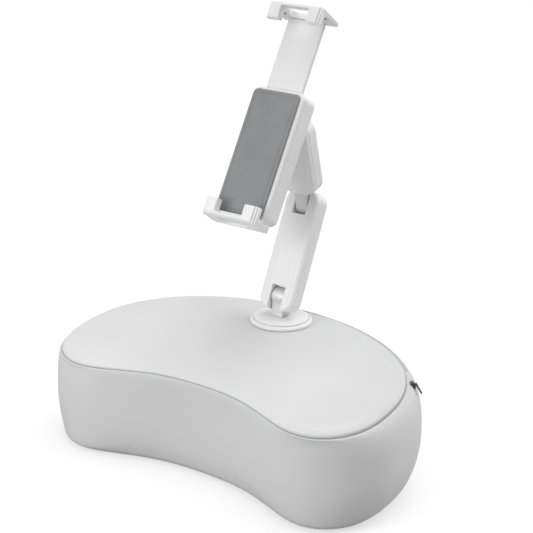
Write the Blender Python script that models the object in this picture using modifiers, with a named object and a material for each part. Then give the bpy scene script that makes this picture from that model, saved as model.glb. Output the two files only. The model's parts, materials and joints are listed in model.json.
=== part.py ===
# Tablet cushion stand: a kidney-shaped lap cushion, a round foot on its top, a two-link
# folding arm and a spring-loaded tablet holder. Metres, +Z up, the cushion's underside at
# z = 0, its hollow front side towards -Y, X across.
import math

import bmesh
import bpy
from mathutils import Matrix, Vector

for old_object in list(bpy.data.objects):
    bpy.data.objects.remove(old_object, do_unlink=True)

# Clearances
GAP = 0.0003             # between pieces that seat on each other
RUNNING_GAP = 0.00025    # beside a hinge washer
HOLE_GAP = 0.0003        # around a pin, screw or bolt
OVERCUT = 0.0015         # how far a cutter stands past the face that it opens

# Cushion outline at its widest level
HALF_LENGTH = 0.190
BACK_REACH = 0.160       # from the line through the two ends to the back
END_Y = -0.037           # that line
LOBE_X = 0.126           # foremost points of the two front lobes
LOBE_Y = -0.100
FRONT_HOLLOW = 0.027     # depth of the hollow between the lobes
HOLLOW_SKEW = 1.3
BACK_FULLNESS = 2.2      # 2 is an ellipse, more is squarer

# Cushion section
SEAM_HEIGHT = 0.1045     # top seam over y = 0
SEAM_SLOPE = 0.12        # the seam climbs towards the back
CROWN = 0.0105
CROWN_SHAPE = 0.6
SHOULDER = 0.034         # height over which the wall rolls in to the seam
FOOT_ROUND = 0.008
SHOULDER_INSET = (0.0, 0.007, 0.011)    # front, ends, back
TOP_LEAN = (-0.0025, 0.005, 0.019)
FOOT_LEAN = (0.001, 0.0165, 0.0115)
COVER = 0.0015
FRONT_STEPS = 6
LOBE_STEPS = 7
BACK_STEPS = 11
PANEL_SCALES = (0.97, 0.9, 0.75, 0.5, 0.25)

# Flat place under the foot
FOOT_PLACE = 0.5825     # share of the cushion's reach, from the line through its ends
DECK = 0.1192            # height of the level place under the foot
CROWN_LIMIT = 0.1212
DECK_RADIUS = 0.0306
DECK_FADE = 0.030

# Foot and turntable
RING_RADIUS = 0.0305
RING_HEIGHT = 0.0042
RING_ROUND = 0.002
TABLE_RADIUS = 0.0268
TABLE_RIM = 0.0012
TABLE_HEIGHT = 0.0024
TABLE_FLAT = 0.014
BOLT_RADIUS = 0.0028
BOLT_HEAD_RADIUS = 0.007
BOLT_HEAD = 0.0020
BOLT_BITE = 0.0075       # thread length inside the lug
BOARD_RADIUS = 0.0245
BOARD_THICKNESS = 0.005
BOARD_DEPTH = 0.0022     # under the cover
BOARD_MARGIN = 0.0008
SCREW_RADIUS = 0.0016
SCREW_HEAD_RADIUS = 0.0034
SCREW_HEAD = 0.0018
RING_SCREW_CIRCLE = 0.0185
RING_SCREW_BITE = 0.0028
RING_SCREWS = 3
RING_SCREW_TURN = math.radians(75)

# Hinges
LUG_WIDTH = 0.0136
LUG_RADIUS = 0.0082
LUG_RISE = 0.0186        # from a lug's seat to its pin
PIN_RADIUS = 0.003
PIN_LENGTH = 0.033
WASHER_RADIUS = 0.0075
WASHER_THICKNESS = 0.0009

# Arm links
ARM_WIDTH = 0.0385
ARM_THICKNESS = 0.020
ARM_CORNER = 0.0115
ARM_EDGE = 0.0038
ARM_END = 0.0145         # past the pin
FRONT_DEPTH = 0.006      # front cover
ARM_WALL = 0.0025
SLOT_DEPTH = 0.0105      # past the pin, inwards
SLOT_BRIDGE = 0.0035     # wall between a slot and the hollow
LOWER_LENGTH = 0.092
LOWER_LEAN = math.radians(24.2)
UPPER_LENGTH = 0.0806
UPPER_LEAN = math.radians(-16.6)
UPPER_START = 0.0180     # from the elbow pin to the upper link's shell
SPINE_THICKNESS = 0.006
TONGUE_THICKNESS = 0.012
SCREW_BITE = 0.004
BAR_SCREW_INSET = 0.005  # from an end of the upper link's hollow to its screw

# Tablet holder, measured in its own frame: x across, y backwards from the pad, z along it
HOLDER_TILT = math.radians(29.7)
PAD_THICKNESS = 0.002
PAD_MARGIN = 0.003
HOLDER_WIDTH = 0.058
HOLDER_THICKNESS = 0.024
HOLDER_COVER = 0.005
HOLDER_TOP = 0.028
HOLDER_BOTTOM = -0.0987
HOLDER_CORNER = 0.008
HOLDER_EDGE = 0.003
HOLDER_WALL = 0.0025
HOLDER_SLOPE = 0.006     # cut off the lower back edge
DISC_RADIUS = 0.022
DISC_THICKNESS = 0.0045
CLAW_WIDTH = 0.060
FINGER_GAP = 0.031
FINGER_DEPTH = 0.0085
FINGER_STEP = 0.0018     # two grip steps down the outer front corners
TABLET_SPACE = 0.0070    # between a finger and the pad
FINGER_TIP = 0.0875      # lower claw, below the holder's centre
LEDGE = 0.0972
CROSSBAR_TOP = 0.1005
CLAW_FRONT_END = 0.1035
CLAW_BACK_END = 0.1060
CLAW_BACK = 0.0125
UPPER_SHIFT = 0.0026     # how much further out the open upper claw stands
UPPER_CLAW_BACK = 0.018
UPPER_BACK_END = 0.1010
WINDOW_DEPTH = 0.014
CLAW_EDGE = 0.0008
CLAW_PAD = 0.001
CLAW_PAD_MARGIN = 0.0015
PLATE_WIDTH = 0.040
PLATE_THICKNESS = 0.004
PLATE_BACKSET = 0.0095
PLATE_END = -0.028
SPRING_RADIUS = 0.0026
SPRING_WIRE = 0.0005
SPRING_TURNS = 7
SPRING_STEPS = 7
SPRING_ANCHOR = -0.088

# Zip
ZIP_STEP = 3             # outline points behind the right end
CHAIN_HEIGHT = 0.004
CHAIN_THICKNESS = 0.0009
SLIDER_SIZE = (0.0065, 0.003, 0.008)
PULL_SIZE = (0.0044, 0.0012, 0.014)
PULL_OFFSET = 0.0009     # pivot in front of the slider

ROUND_STEPS = 36
PIN_STEPS = 16
SMALL_STEPS = 10


# Collections and materials

parts = bpy.data.collections.new("tablet_cushion_stand")
tools = bpy.data.collections.new("cutters_and_frames")
bpy.context.scene.collection.children.link(parts)
bpy.context.scene.collection.children.link(tools)


def material(name, grey, roughness, metallic=0.0):
    """A plain Principled material of one grey, given as sRGB 0 to 255."""
    made = bpy.data.materials.new(name)
    made.use_nodes = True
    shader = made.node_tree.nodes["Principled BSDF"]
    level = ((grey / 255 + 0.055) / 1.055) ** 2.4
    shader.inputs["Base Color"].default_value = (level, level, level, 1)
    shader.inputs["Roughness"].default_value = roughness
    shader.inputs["Metallic"].default_value = metallic
    return made


FABRIC = material("cover_fabric", 216, 0.8)
FOAM = material("foam", 235, 0.95)
WHITE = material("white_plastic", 236, 0.4)
STEEL = material("satin_steel", 205, 0.35, 1.0)
ALUMINIUM = material("satin_aluminium", 220, 0.35, 1.0)
RUBBER = material("grey_rubber", 120, 0.8)
BOARD = material("inner_board", 170, 0.7)
DARK_METAL = material("dark_metal", 75, 0.4, 1.0)


def frame(name, parent=None, location=(0, 0, 0), lean=0.0):
    """An empty; lean turns it about X, positive towards +Y at its top."""
    made = bpy.data.objects.new(name, None)
    tools.objects.link(made)
    made.parent = parent
    made.location = location
    made.rotation_euler = (-lean, 0, 0)
    return made


def place(obj, mat, parent=None):
    """Put a finished object among the parts, in its parent's frame."""
    for collection in list(obj.users_collection):
        collection.objects.unlink(obj)
    parts.objects.link(obj)
    obj.parent = parent
    obj.data.materials.clear()
    obj.data.materials.append(mat)
    obj.data.shade_smooth()
    obj.data.set_sharp_from_angle(angle=math.radians(35))
    return obj


def cutter(obj, parent=None):
    """Turn an object into a hidden cutter in the tools collection."""
    for collection in list(obj.users_collection):
        collection.objects.unlink(obj)
    tools.objects.link(obj)
    obj.parent = parent
    obj.hide_render = True
    obj.display_type = "WIRE"
    return obj


def boolean(obj, other, operation="DIFFERENCE"):
    step = obj.modifiers.new(operation.lower() + "_" + other.name, "BOOLEAN")
    step.object = other
    step.operation = operation
    step.solver = "EXACT"


def box(name, low, high):
    """A box between two corners."""
    bpy.ops.mesh.primitive_cube_add(size=1)
    made = bpy.context.object
    made.name = name
    size = [b - a for a, b in zip(low, high)]
    centre = [(a + b) / 2 for a, b in zip(low, high)]
    made.data.transform(Matrix.Translation(centre) @ Matrix.Diagonal((*size, 1)))
    return made


def rod(name, radius, start, end, axis="Z", sides=ROUND_STEPS, centre=(0, 0)):
    """A cylinder along one axis; centre gives the two other coordinates in order."""
    bpy.ops.mesh.primitive_cylinder_add(radius=radius, depth=end - start, vertices=sides)
    made = bpy.context.object
    made.name = name
    middle = (start + end) / 2
    if axis == "X":
        turn = Matrix.Rotation(math.pi / 2, 4, "Y")
        shift = (middle, centre[0], centre[1])
    elif axis == "Y":
        turn = Matrix.Rotation(math.pi / 2, 4, "X")
        shift = (centre[0], middle, centre[1])
    else:
        turn = Matrix.Identity(4)
        shift = (centre[0], centre[1], middle)
    made.data.transform(Matrix.Translation(shift) @ turn)
    return made


def turned(name, profile, steps=ROUND_STEPS):
    """A profile of (radius, height) points turned about Z; one off the axis is closed."""
    mesh = bpy.data.meshes.new(name)
    edges = [(i, i + 1) for i in range(len(profile) - 1)]
    if profile[0][0] > 0:
        edges.append((len(profile) - 1, 0))
    mesh.from_pydata([(r, 0, z) for r, z in profile], edges, [])
    made = bpy.data.objects.new(name, mesh)
    bpy.context.scene.collection.objects.link(made)
    screw = made.modifiers.new("turn", "SCREW")
    screw.steps = steps
    screw.render_steps = steps
    screw.use_merge_vertices = True
    screw.merge_threshold = 0.00001
    return made


def slab(name, points, start, end, axis="Y", edge=0.0):
    """A flat outline made thick along an axis, with its outline edges rounded.

    For axis Y the points are (x, z); for axis X they are (y, z)."""
    curve = bpy.data.curves.new(name, "CURVE")
    curve.dimensions = "2D"
    curve.fill_mode = "BOTH"
    curve.extrude = (end - start) / 2
    spline = curve.splines.new("POLY")
    spline.points.add(len(points) - 1)
    for point, (a, b) in zip(spline.points, points):
        point.co = (a, b, 0, 1)
    spline.use_cyclic_u = True
    flat = bpy.data.objects.new(name, curve)
    tools.objects.link(flat)
    bpy.context.view_layer.update()
    graph = bpy.context.evaluated_depsgraph_get()
    mesh = bpy.data.meshes.new_from_object(flat.evaluated_get(graph))
    bpy.data.objects.remove(flat, do_unlink=True)
    mesh.name = name
    work = bmesh.new()
    work.from_mesh(mesh)
    bmesh.ops.remove_doubles(work, verts=work.verts, dist=0.00001)
    bmesh.ops.dissolve_limit(work, angle_limit=0.001, verts=work.verts, edges=work.edges)
    bmesh.ops.recalc_face_normals(work, faces=work.faces)
    work.to_mesh(mesh)
    work.free()
    middle = (start + end) / 2
    if axis == "Y":
        turn = Matrix.Rotation(math.pi / 2, 4, "X")
        shift = Matrix.Translation((0, middle, 0))
    else:
        turn = Matrix(((0, 0, 1, 0), (1, 0, 0, 0), (0, 1, 0, 0), (0, 0, 0, 1)))
        shift = Matrix.Translation((middle, 0, 0))
    mesh.transform(shift @ turn)
    made = bpy.data.objects.new(name, mesh)
    bpy.context.scene.collection.objects.link(made)
    if edge:
        bevel = made.modifiers.new("edges", "BEVEL")
        bevel.width = edge
        bevel.segments = 2
        bevel.limit_method = "ANGLE"
        bevel.angle_limit = math.radians(60)
    return made


def rounded_outline(width, bottom, top, corner, steps=4):
    """A rounded rectangle, width across and from bottom to top."""
    points = []
    half = width / 2 - corner
    for centre_x, centre_z, turn in ((half, bottom + corner, -90), (half, top - corner, 0),
                                     (-half, top - corner, 90), (-half, bottom + corner, 180)):
        for step in range(steps + 1):
            angle = math.radians(turn + 90 * step / steps)
            points.append((centre_x + corner * math.cos(angle), centre_z + corner * math.sin(angle)))
    return points


def loft(name, rings, ring_closed=False):
    """Join rings of points, one after the other, into one closed body."""
    work = bmesh.new()
    rows = [[work.verts.new(point) for point in ring] for ring in rings]
    pairs = list(zip(rows, rows[1:]))
    if ring_closed:
        pairs.append((rows[-1], rows[0]))
    for row, following in pairs:
        for i in range(len(row)):
            j = (i + 1) % len(row)
            work.faces.new((row[i], row[j], following[j], following[i]))
    if not ring_closed:
        work.faces.new(rows[0])
        work.faces.new(rows[-1])
    bmesh.ops.triangulate(work, faces=work.faces)
    bmesh.ops.recalc_face_normals(work, faces=work.faces)
    mesh = bpy.data.meshes.new(name)
    work.to_mesh(mesh)
    work.free()
    made = bpy.data.objects.new(name, mesh)
    bpy.context.scene.collection.objects.link(made)
    return made


# Cushion

def half_outline():
    """The right half of the widest outline, from the hollow to the back."""
    points = []
    for step in range(FRONT_STEPS):
        t = step / FRONT_STEPS
        swell = (1 + math.cos(math.pi * t ** HOLLOW_SKEW)) / 2
        points.append((LOBE_X * t, LOBE_Y + FRONT_HOLLOW * swell))
    for step in range(LOBE_STEPS):
        angle = math.pi / 2 * (step / LOBE_STEPS - 1)
        x = LOBE_X + (HALF_LENGTH - LOBE_X) * math.cos(angle)
        points.append((x, END_Y + (END_Y - LOBE_Y) * math.sin(angle)))
    for step in range(BACK_STEPS):
        angle = math.pi / 2 * step / BACK_STEPS
        x = HALF_LENGTH * math.cos(angle) ** (2 / BACK_FULLNESS)
        points.append((x, END_Y + BACK_REACH * math.sin(angle) ** (2 / BACK_FULLNESS)))
    return points


def full_outline():
    right = half_outline()
    left = [(-x, y) for x, y in reversed(right[1:])]
    return right + [(0, END_Y + BACK_REACH)] + left


def outline_normals(points):
    normals = []
    for i in range(len(points)):
        before = Vector(points[i - 1])
        after = Vector(points[(i + 1) % len(points)])
        along = (after - before).normalized()
        normals.append(Vector((along.y, -along.x)))
    return normals


FOOT_Y = END_Y + FOOT_PLACE * BACK_REACH
OUTLINE = full_outline()
NORMALS = outline_normals(OUTLINE)


def blend(values, normal):
    """Front, end and back values mixed by the way the wall faces."""
    front, end, back = values
    share = normal.y ** 2
    if normal.y < 0:
        return end + (front - end) * share
    return end + (back - end) * share


def wall_offset(normal, height, seam):
    """How far the wall stands inside the widest outline at a height."""
    level = 2 * height / seam - 1
    lean = TOP_LEAN if level > 0 else FOOT_LEAN
    offset = -blend(lean, normal) * level ** 2
    if height > seam - SHOULDER:
        rise = (height - (seam - SHOULDER)) / SHOULDER
        offset -= blend(SHOULDER_INSET, normal) * (1 - math.sqrt(max(0, 1 - rise ** 2)))
    if height < FOOT_ROUND:
        drop = 1 - height / FOOT_ROUND
        offset -= FOOT_ROUND * (1 - math.sqrt(max(0, 1 - drop ** 2)))
    return offset


def seam_height(y):
    return SEAM_HEIGHT + SEAM_SLOPE * y


def wall_ring(level, inward=0.0, top_cut=0.0, bottom_cut=0.0):
    """One level of the wall: level runs from 1 at the seam to 0 at the floor."""
    ring = []
    for (x, y), normal in zip(OUTLINE, NORMALS):
        seam = seam_height(y)
        height = seam * level
        offset = wall_offset(normal, height, seam) - inward
        height = min(max(height, bottom_cut), seam - top_cut)
        ring.append(Vector((x + normal.x * offset, y + normal.y * offset, height)))
    return ring


def panel_ring(scale, lower=0.0, inward=0.0):
    """One ring of the top panel, shrunk towards the cushion's middle line."""
    ring = []
    for edge, (x, y) in zip(wall_ring(1.0, inward), OUTLINE):
        middle_x = max(-LOBE_X, min(LOBE_X, edge.x))
        centre = (2 * END_Y + BACK_REACH - END_Y + LOBE_Y + FRONT_HOLLOW) / 2
        middle_y = END_Y + (centre - END_Y) * (1 - (middle_x / LOBE_X) ** 2)
        px = middle_x + (edge.x - middle_x) * scale
        py = middle_y + (edge.y - middle_y) * scale
        height = seam_height(middle_y + (y - middle_y) * scale)
        height += CROWN * (1 - scale ** 2) ** CROWN_SHAPE
        height = min(height, CROWN_LIMIT)
        if scale < 1:
            away = math.hypot(px, py - FOOT_Y) - DECK_RADIUS
            share = min(1, max(0, away / DECK_FADE))
            share = share * share * (3 - 2 * share)
            height = DECK + (height - DECK) * share
        ring.append(Vector((px, py, height - lower)))
    return ring


BAND_LEVELS = (1.0, 0.955, 0.8, 0.6, 0.35, 0.08, 0.025, 0.0)
BAND_TOP = COVER + GAP
SKIN = COVER + GAP

band_outer = [wall_ring(level, 0, BAND_TOP) for level in BAND_LEVELS]
band_inner = [wall_ring(level, COVER, BAND_TOP) for level in BAND_LEVELS]
side_band = loft("cover_side_band", band_outer + band_inner[::-1], ring_closed=True)
place(side_band, FABRIC)

panel_outer = [panel_ring(scale) for scale in (1.0,) + PANEL_SCALES]
panel_inner = [panel_ring(scale, COVER) for scale in (1.0,) + PANEL_SCALES]
top_panel = loft("cover_top_panel", panel_outer[::-1] + panel_inner)
place(top_panel, FABRIC)

bottom_low = wall_ring(0.0, COVER + GAP)
bottom_high = [point + Vector((0, 0, COVER)) for point in bottom_low]
place(loft("cover_bottom_panel", [bottom_low, bottom_high]), FABRIC)

foam_top = [panel_ring(scale, SKIN, SKIN) for scale in (1.0,) + PANEL_SCALES]
foam_wall = [wall_ring(level, SKIN, SKIN + GAP, SKIN) for level in BAND_LEVELS[1:]]
foam = loft("foam_core", foam_top[::-1] + foam_wall)
place(foam, FOAM)


# Foot: board under the cover, ring on top of it, screws from below

foot = frame("foot_frame", None, (0, FOOT_Y, DECK))
board_top = -COVER - BOARD_DEPTH
board_bottom = board_top - BOARD_THICKNESS
ring_base = GAP

board = rod("mounting_board", BOARD_RADIUS, board_bottom, board_top)
place(board, BOARD, foot)
pocket_low = board_bottom - SCREW_HEAD - BOARD_MARGIN
pocket = cutter(rod("board_pocket", BOARD_RADIUS + BOARD_MARGIN, pocket_low, OVERCUT), foot)
boolean(foam, pocket)

table_base = ring_base + RING_HEIGHT + GAP
recess = BOLT_HEAD + 2 * GAP
bore = BOLT_RADIUS + HOLE_GAP
recess_radius = BOLT_HEAD_RADIUS + HOLE_GAP
ring = turned("base_ring", [
    (RING_RADIUS, ring_base + RING_HEIGHT - RING_ROUND),
    (RING_RADIUS, ring_base + RING_ROUND / 2),
    (RING_RADIUS - RING_ROUND / 2, ring_base),
    (recess_radius, ring_base),
    (recess_radius, ring_base + recess),
    (bore, ring_base + recess),
    (bore, ring_base + RING_HEIGHT),
    (RING_RADIUS - RING_ROUND, ring_base + RING_HEIGHT),
    (RING_RADIUS - RING_ROUND * 0.3, ring_base + RING_HEIGHT - RING_ROUND * 0.3),
])
place(ring, WHITE, foot)

for number in range(RING_SCREWS):
    angle = RING_SCREW_TURN + 2 * math.pi * number / RING_SCREWS
    spot = (RING_SCREW_CIRCLE * math.cos(angle), RING_SCREW_CIRCLE * math.sin(angle))
    name = f"base_screw_{number + 1}"
    head_top = board_bottom - GAP
    screw = turned(name, [
        (0, ring_base + RING_SCREW_BITE),
        (SCREW_RADIUS, ring_base + RING_SCREW_BITE),
        (SCREW_RADIUS, head_top),
        (SCREW_HEAD_RADIUS, head_top),
        (SCREW_HEAD_RADIUS, head_top - SCREW_HEAD),
        (0, head_top - SCREW_HEAD),
    ], SMALL_STEPS)
    place(screw, STEEL, foot)
    screw.location = (spot[0], spot[1], 0)
    hole_top = ring_base + RING_SCREW_BITE + HOLE_GAP
    hole = cutter(rod(name + "_hole", SCREW_RADIUS + HOLE_GAP, board_bottom - OVERCUT, hole_top,
                      sides=SMALL_STEPS, centre=spot), foot)
    boolean(board, hole)
    boolean(top_panel, hole)
    boolean(ring, hole)


# Turntable with its lug; it turns on the foot

turn_frame = frame("turntable_frame", foot, (0, 0, table_base))
place(turned("turntable_disc", [
    (TABLE_RADIUS, TABLE_RIM),
    (TABLE_RADIUS, 0),
    (bore, 0),
    (bore, TABLE_HEIGHT),
    (TABLE_FLAT, TABLE_HEIGHT),
    ((TABLE_RADIUS + TABLE_FLAT) / 2, TABLE_HEIGHT - 0.2 * (TABLE_HEIGHT - TABLE_RIM)),
]), WHITE, turn_frame)

bolt_seat = -GAP - RING_HEIGHT + recess - GAP
place(turned("swivel_bolt", [
    (0, TABLE_HEIGHT + BOLT_BITE),
    (BOLT_RADIUS, TABLE_HEIGHT + BOLT_BITE),
    (BOLT_RADIUS, bolt_seat),
    (BOLT_HEAD_RADIUS, bolt_seat),
    (BOLT_HEAD_RADIUS, bolt_seat - BOLT_HEAD),
    (0, bolt_seat - BOLT_HEAD),
], PIN_STEPS), STEEL, turn_frame)


def lug_outline(seat, neck=LUG_RADIUS):
    """Side view of a lug, (y, z) about its pin, reaching down to its seat."""
    points = [(-neck, -seat), (neck, -seat)]
    if neck < LUG_RADIUS:
        head_end = LUG_RISE - LUG_RADIUS
        points += [(neck, -UPPER_START), (LUG_RADIUS, -head_end)]
    for step in range(13):
        angle = math.pi * step / 12
        points.append((LUG_RADIUS * math.cos(angle), LUG_RADIUS * math.sin(angle)))
    if neck < LUG_RADIUS:
        points += [(-LUG_RADIUS, -head_end), (-neck, -UPPER_START)]
    return points


def pin_hole(name, parent):
    return cutter(rod(name, PIN_RADIUS + HOLE_GAP, -LUG_WIDTH, LUG_WIDTH, "X", PIN_STEPS), parent)


def lug(name, parent, mat):
    """A hinge lug that stands on its seat and takes the bolt from below."""
    made = slab(name, lug_outline(LUG_RISE), -LUG_WIDTH / 2, LUG_WIDTH / 2, "X")
    place(made, mat, parent)
    boolean(made, pin_hole(name + "_pin_hole", parent))
    blind = rod(name + "_bolt_hole", BOLT_RADIUS + HOLE_GAP, -LUG_RISE - OVERCUT,
                -LUG_RISE + BOLT_BITE + HOLE_GAP, sides=PIN_STEPS)
    boolean(made, cutter(blind, parent))
    return made


lug_base = TABLE_HEIGHT + GAP
shoulder = frame("shoulder_frame", turn_frame, (0, 0, lug_base + LUG_RISE))
lug("base_lug", shoulder, ALUMINIUM)


# Hinge hardware

CHEEK_INSIDE = LUG_WIDTH / 2 + WASHER_THICKNESS + 2 * RUNNING_GAP


def hinge_hardware(name, parent):
    """The pin and the two friction washers of one hinge."""
    pin = rod(name + "_pin", PIN_RADIUS, -PIN_LENGTH / 2, PIN_LENGTH / 2, "X", PIN_STEPS)
    place(pin, STEEL, parent)
    for side, word in ((1, "right"), (-1, "left")):
        ring_of = turned(f"{name}_washer_{word}", [
            (WASHER_RADIUS, WASHER_THICKNESS / 2),
            (WASHER_RADIUS, -WASHER_THICKNESS / 2),
            (PIN_RADIUS + HOLE_GAP, -WASHER_THICKNESS / 2),
            (PIN_RADIUS + HOLE_GAP, WASHER_THICKNESS / 2),
        ], PIN_STEPS)
        place(ring_of, STEEL, parent)
        away = LUG_WIDTH / 2 + RUNNING_GAP + WASHER_THICKNESS / 2
        ring_of.location = (side * away, 0, 0)
        ring_of.rotation_euler = (0, math.pi / 2, 0)


def slot_cutter(name, parent, pin_z, inward):
    """The open slot of a fork; inward is +1 where the link goes up from the pin."""
    low = pin_z + SLOT_DEPTH * inward
    high = pin_z - (ARM_END + OVERCUT) * inward
    made = box(name, (-CHEEK_INSIDE, -ARM_THICKNESS, min(low, high)),
               (CHEEK_INSIDE, ARM_THICKNESS, max(low, high)))
    return cutter(made, parent)


def pin_seat(name, parent, pin_z):
    """The pin's seat, open towards the front cover so that the pin can be laid in."""
    reach = PIN_LENGTH / 2 + HOLE_GAP
    round_part = rod(name, PIN_RADIUS + HOLE_GAP, -reach, reach, "X", PIN_STEPS, (0, pin_z))
    return cutter(round_part, parent)


SPLIT = -ARM_THICKNESS / 2 + FRONT_DEPTH


def arm_shells(name, parent, bottom, top, forks, hollow, bar_half, bar_width):
    """Front cover and back shell of a link, with fork slots, pin seats and a hollow."""
    shells = []
    limits = (("back_shell", SPLIT + GAP / 2, ARM_THICKNESS),
              ("front_cover", -ARM_THICKNESS, SPLIT - GAP / 2))
    outline = rounded_outline(ARM_WIDTH, bottom, top, ARM_CORNER)
    keep_x = ARM_WIDTH
    for word, start, end in limits:
        shell = slab(f"{name}_{word}", outline, -ARM_THICKNESS / 2, ARM_THICKNESS / 2, "Y", ARM_EDGE)
        place(shell, WHITE, parent)
        keep = box(f"{name}_{word}_keep", (-keep_x, start, bottom - keep_x), (keep_x, end, top + keep_x))
        boolean(shell, cutter(keep, parent), "INTERSECT")
        shells.append(shell)
    inner_half = ARM_WIDTH / 2 - ARM_WALL
    depth = ARM_THICKNESS / 2 - ARM_WALL
    cavity = box(f"{name}_hollow", (-inner_half, -depth, hollow[0]), (inner_half, depth, hollow[1]))
    cutters = [cutter(cavity, parent)]
    for word, pin_z, inward in forks:
        cutters.append(slot_cutter(f"{name}_{word}_slot", parent, pin_z, inward))
        cutters.append(pin_seat(f"{name}_{word}_seat", parent, pin_z))
    if bar_half:
        passage = box(f"{name}_passage", (-bar_width / 2 - GAP, -bar_half - GAP, bottom - OVERCUT),
                      (bar_width / 2 + GAP, bar_half + GAP, hollow[0] + OVERCUT))
        cutters.append(cutter(passage, parent))
    for shell in shells:
        for tool in cutters:
            boolean(shell, tool)
    return shells


def back_screws(name, parent, shell, bar, bar_back, heights):
    """Screws through the back shell into the link's bar, heads sunk in the shell."""
    back = ARM_THICKNESS / 2
    seat = back - SCREW_HEAD - GAP
    for number, height in enumerate(heights, 1):
        label = f"{name}_screw_{number}"
        made = turned(label, [
            (0, seat + GAP + SCREW_HEAD),
            (SCREW_HEAD_RADIUS, seat + GAP + SCREW_HEAD),
            (SCREW_HEAD_RADIUS, seat + GAP),
            (SCREW_RADIUS, seat + GAP),
            (SCREW_RADIUS, bar_back - SCREW_BITE),
            (0, bar_back - SCREW_BITE),
        ], SMALL_STEPS)
        place(made, STEEL, parent)
        made.rotation_euler = (-math.pi / 2, 0, 0)
        made.location = (0, 0, height)
        hole = rod(label + "_hole", SCREW_RADIUS + HOLE_GAP, bar_back - SCREW_BITE - HOLE_GAP,
                   back + OVERCUT,
                   "Y", SMALL_STEPS, (0, height))
        sink = rod(label + "_sink", SCREW_HEAD_RADIUS + HOLE_GAP, seat, back + OVERCUT, "Y", SMALL_STEPS,
                   (0, height))
        hole = cutter(hole, parent)
        boolean(shell, hole)
        boolean(bar, hole)
        boolean(shell, cutter(sink, parent))


# Lower link

lower = frame("lower_arm_frame", shoulder, (0, 0, 0), LOWER_LEAN)
hinge_hardware("shoulder", lower)
hollow_low = SLOT_DEPTH + SLOT_BRIDGE
hollow_high = LOWER_LENGTH - SLOT_DEPTH - SLOT_BRIDGE
lower_back = arm_shells(
    "lower_arm", lower, -ARM_END, LOWER_LENGTH + ARM_END,
    (("bottom", 0, 1), ("top", LOWER_LENGTH, -1)), (hollow_low, hollow_high), 0, 0)[0]
spine_back = ARM_THICKNESS / 2 - ARM_WALL - GAP
spine_half = ARM_WIDTH / 2 - ARM_WALL - GAP
spine = box("lower_arm_spine", (-spine_half, spine_back - SPINE_THICKNESS, hollow_low + GAP),
            (spine_half, spine_back, hollow_high - GAP))
place(spine, STEEL, lower)
back_screws("lower_arm", lower, lower_back, spine, spine_back,
            (LOWER_LENGTH * 0.32, LOWER_LENGTH * 0.68))


# Upper link: its tongue turns in the lower link's upper fork

elbow = frame("elbow_frame", lower, (0, 0, LOWER_LENGTH), UPPER_LEAN - LOWER_LEAN)
hinge_hardware("elbow", lower)
for word in ("pin", "washer_right", "washer_left"):
    piece = bpy.data.objects["elbow_" + word]
    piece.location.z += LOWER_LENGTH

upper_top = UPPER_LENGTH + ARM_END
upper_hollow_high = UPPER_LENGTH - SLOT_DEPTH - SLOT_BRIDGE
upper_hollow_low = UPPER_START + 2 * SLOT_BRIDGE
upper_back = arm_shells(
    "upper_arm", elbow, UPPER_START, upper_top, (("top", UPPER_LENGTH, -1),),
    (upper_hollow_low, upper_hollow_high), TONGUE_THICKNESS / 2, LUG_WIDTH)[0]
tongue_reach = upper_hollow_high - GAP
tongue = slab("upper_arm_tongue", [(-y, -z) for y, z in lug_outline(tongue_reach, TONGUE_THICKNESS / 2)],
              -LUG_WIDTH / 2, LUG_WIDTH / 2, "X")
place(tongue, ALUMINIUM, elbow)
boolean(tongue, pin_hole("upper_arm_tongue_pin_hole", elbow))
back_screws("upper_arm", elbow, upper_back, tongue, TONGUE_THICKNESS / 2,
            (upper_hollow_low + BAR_SCREW_INSET, upper_hollow_high - BAR_SCREW_INSET))
wrist_top = frame("wrist_pin_frame", elbow, (0, 0, UPPER_LENGTH))
hinge_hardware("wrist", wrist_top)


# Wrist: lug and disc behind the holder; the holder spins on the disc

wrist = frame("wrist_frame", elbow, (0, 0, UPPER_LENGTH), HOLDER_TILT - UPPER_LEAN)
body_back = PAD_THICKNESS + GAP + HOLDER_THICKNESS
disc_front = body_back + GAP
disc_back = disc_front + DISC_THICKNESS
wrist_to_pad = disc_back + GAP + LUG_RISE
lug_frame = frame("holder_lug_frame", wrist, (0, 0, 0), math.radians(90))
lug("holder_lug", lug_frame, ALUMINIUM)

spin = frame("holder_frame", wrist, (0, -wrist_to_pad, 0))
disc = rod("holder_disc", DISC_RADIUS, disc_front, disc_back, "Y")
place(disc, WHITE, spin)
spin_bore = cutter(rod("disc_bore", bore, disc_front - OVERCUT, disc_back + OVERCUT, "Y"), spin)
boolean(disc, spin_bore)

shell_wall_front = body_back - HOLDER_WALL
head_seat = GAP - shell_wall_front
spin_bolt = turned("spin_bolt", [
    (0, head_seat + BOLT_HEAD),
    (BOLT_HEAD_RADIUS, head_seat + BOLT_HEAD),
    (BOLT_HEAD_RADIUS, head_seat),
    (BOLT_RADIUS, head_seat),
    (BOLT_RADIUS, -disc_back - BOLT_BITE),
    (0, -disc_back - BOLT_BITE),
], PIN_STEPS)
place(spin_bolt, STEEL, spin)
spin_bolt.rotation_euler = (math.pi / 2, 0, 0)


# Holder body

body_front = PAD_THICKNESS + GAP
holder_split = body_front + HOLDER_COVER
pad = slab("holder_pad", rounded_outline(HOLDER_WIDTH - 2 * PAD_MARGIN, HOLDER_BOTTOM + PAD_MARGIN,
                                         HOLDER_TOP - PAD_MARGIN, HOLDER_CORNER - PAD_MARGIN),
           0, PAD_THICKNESS, "Y")
place(pad, RUBBER, spin)

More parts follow.
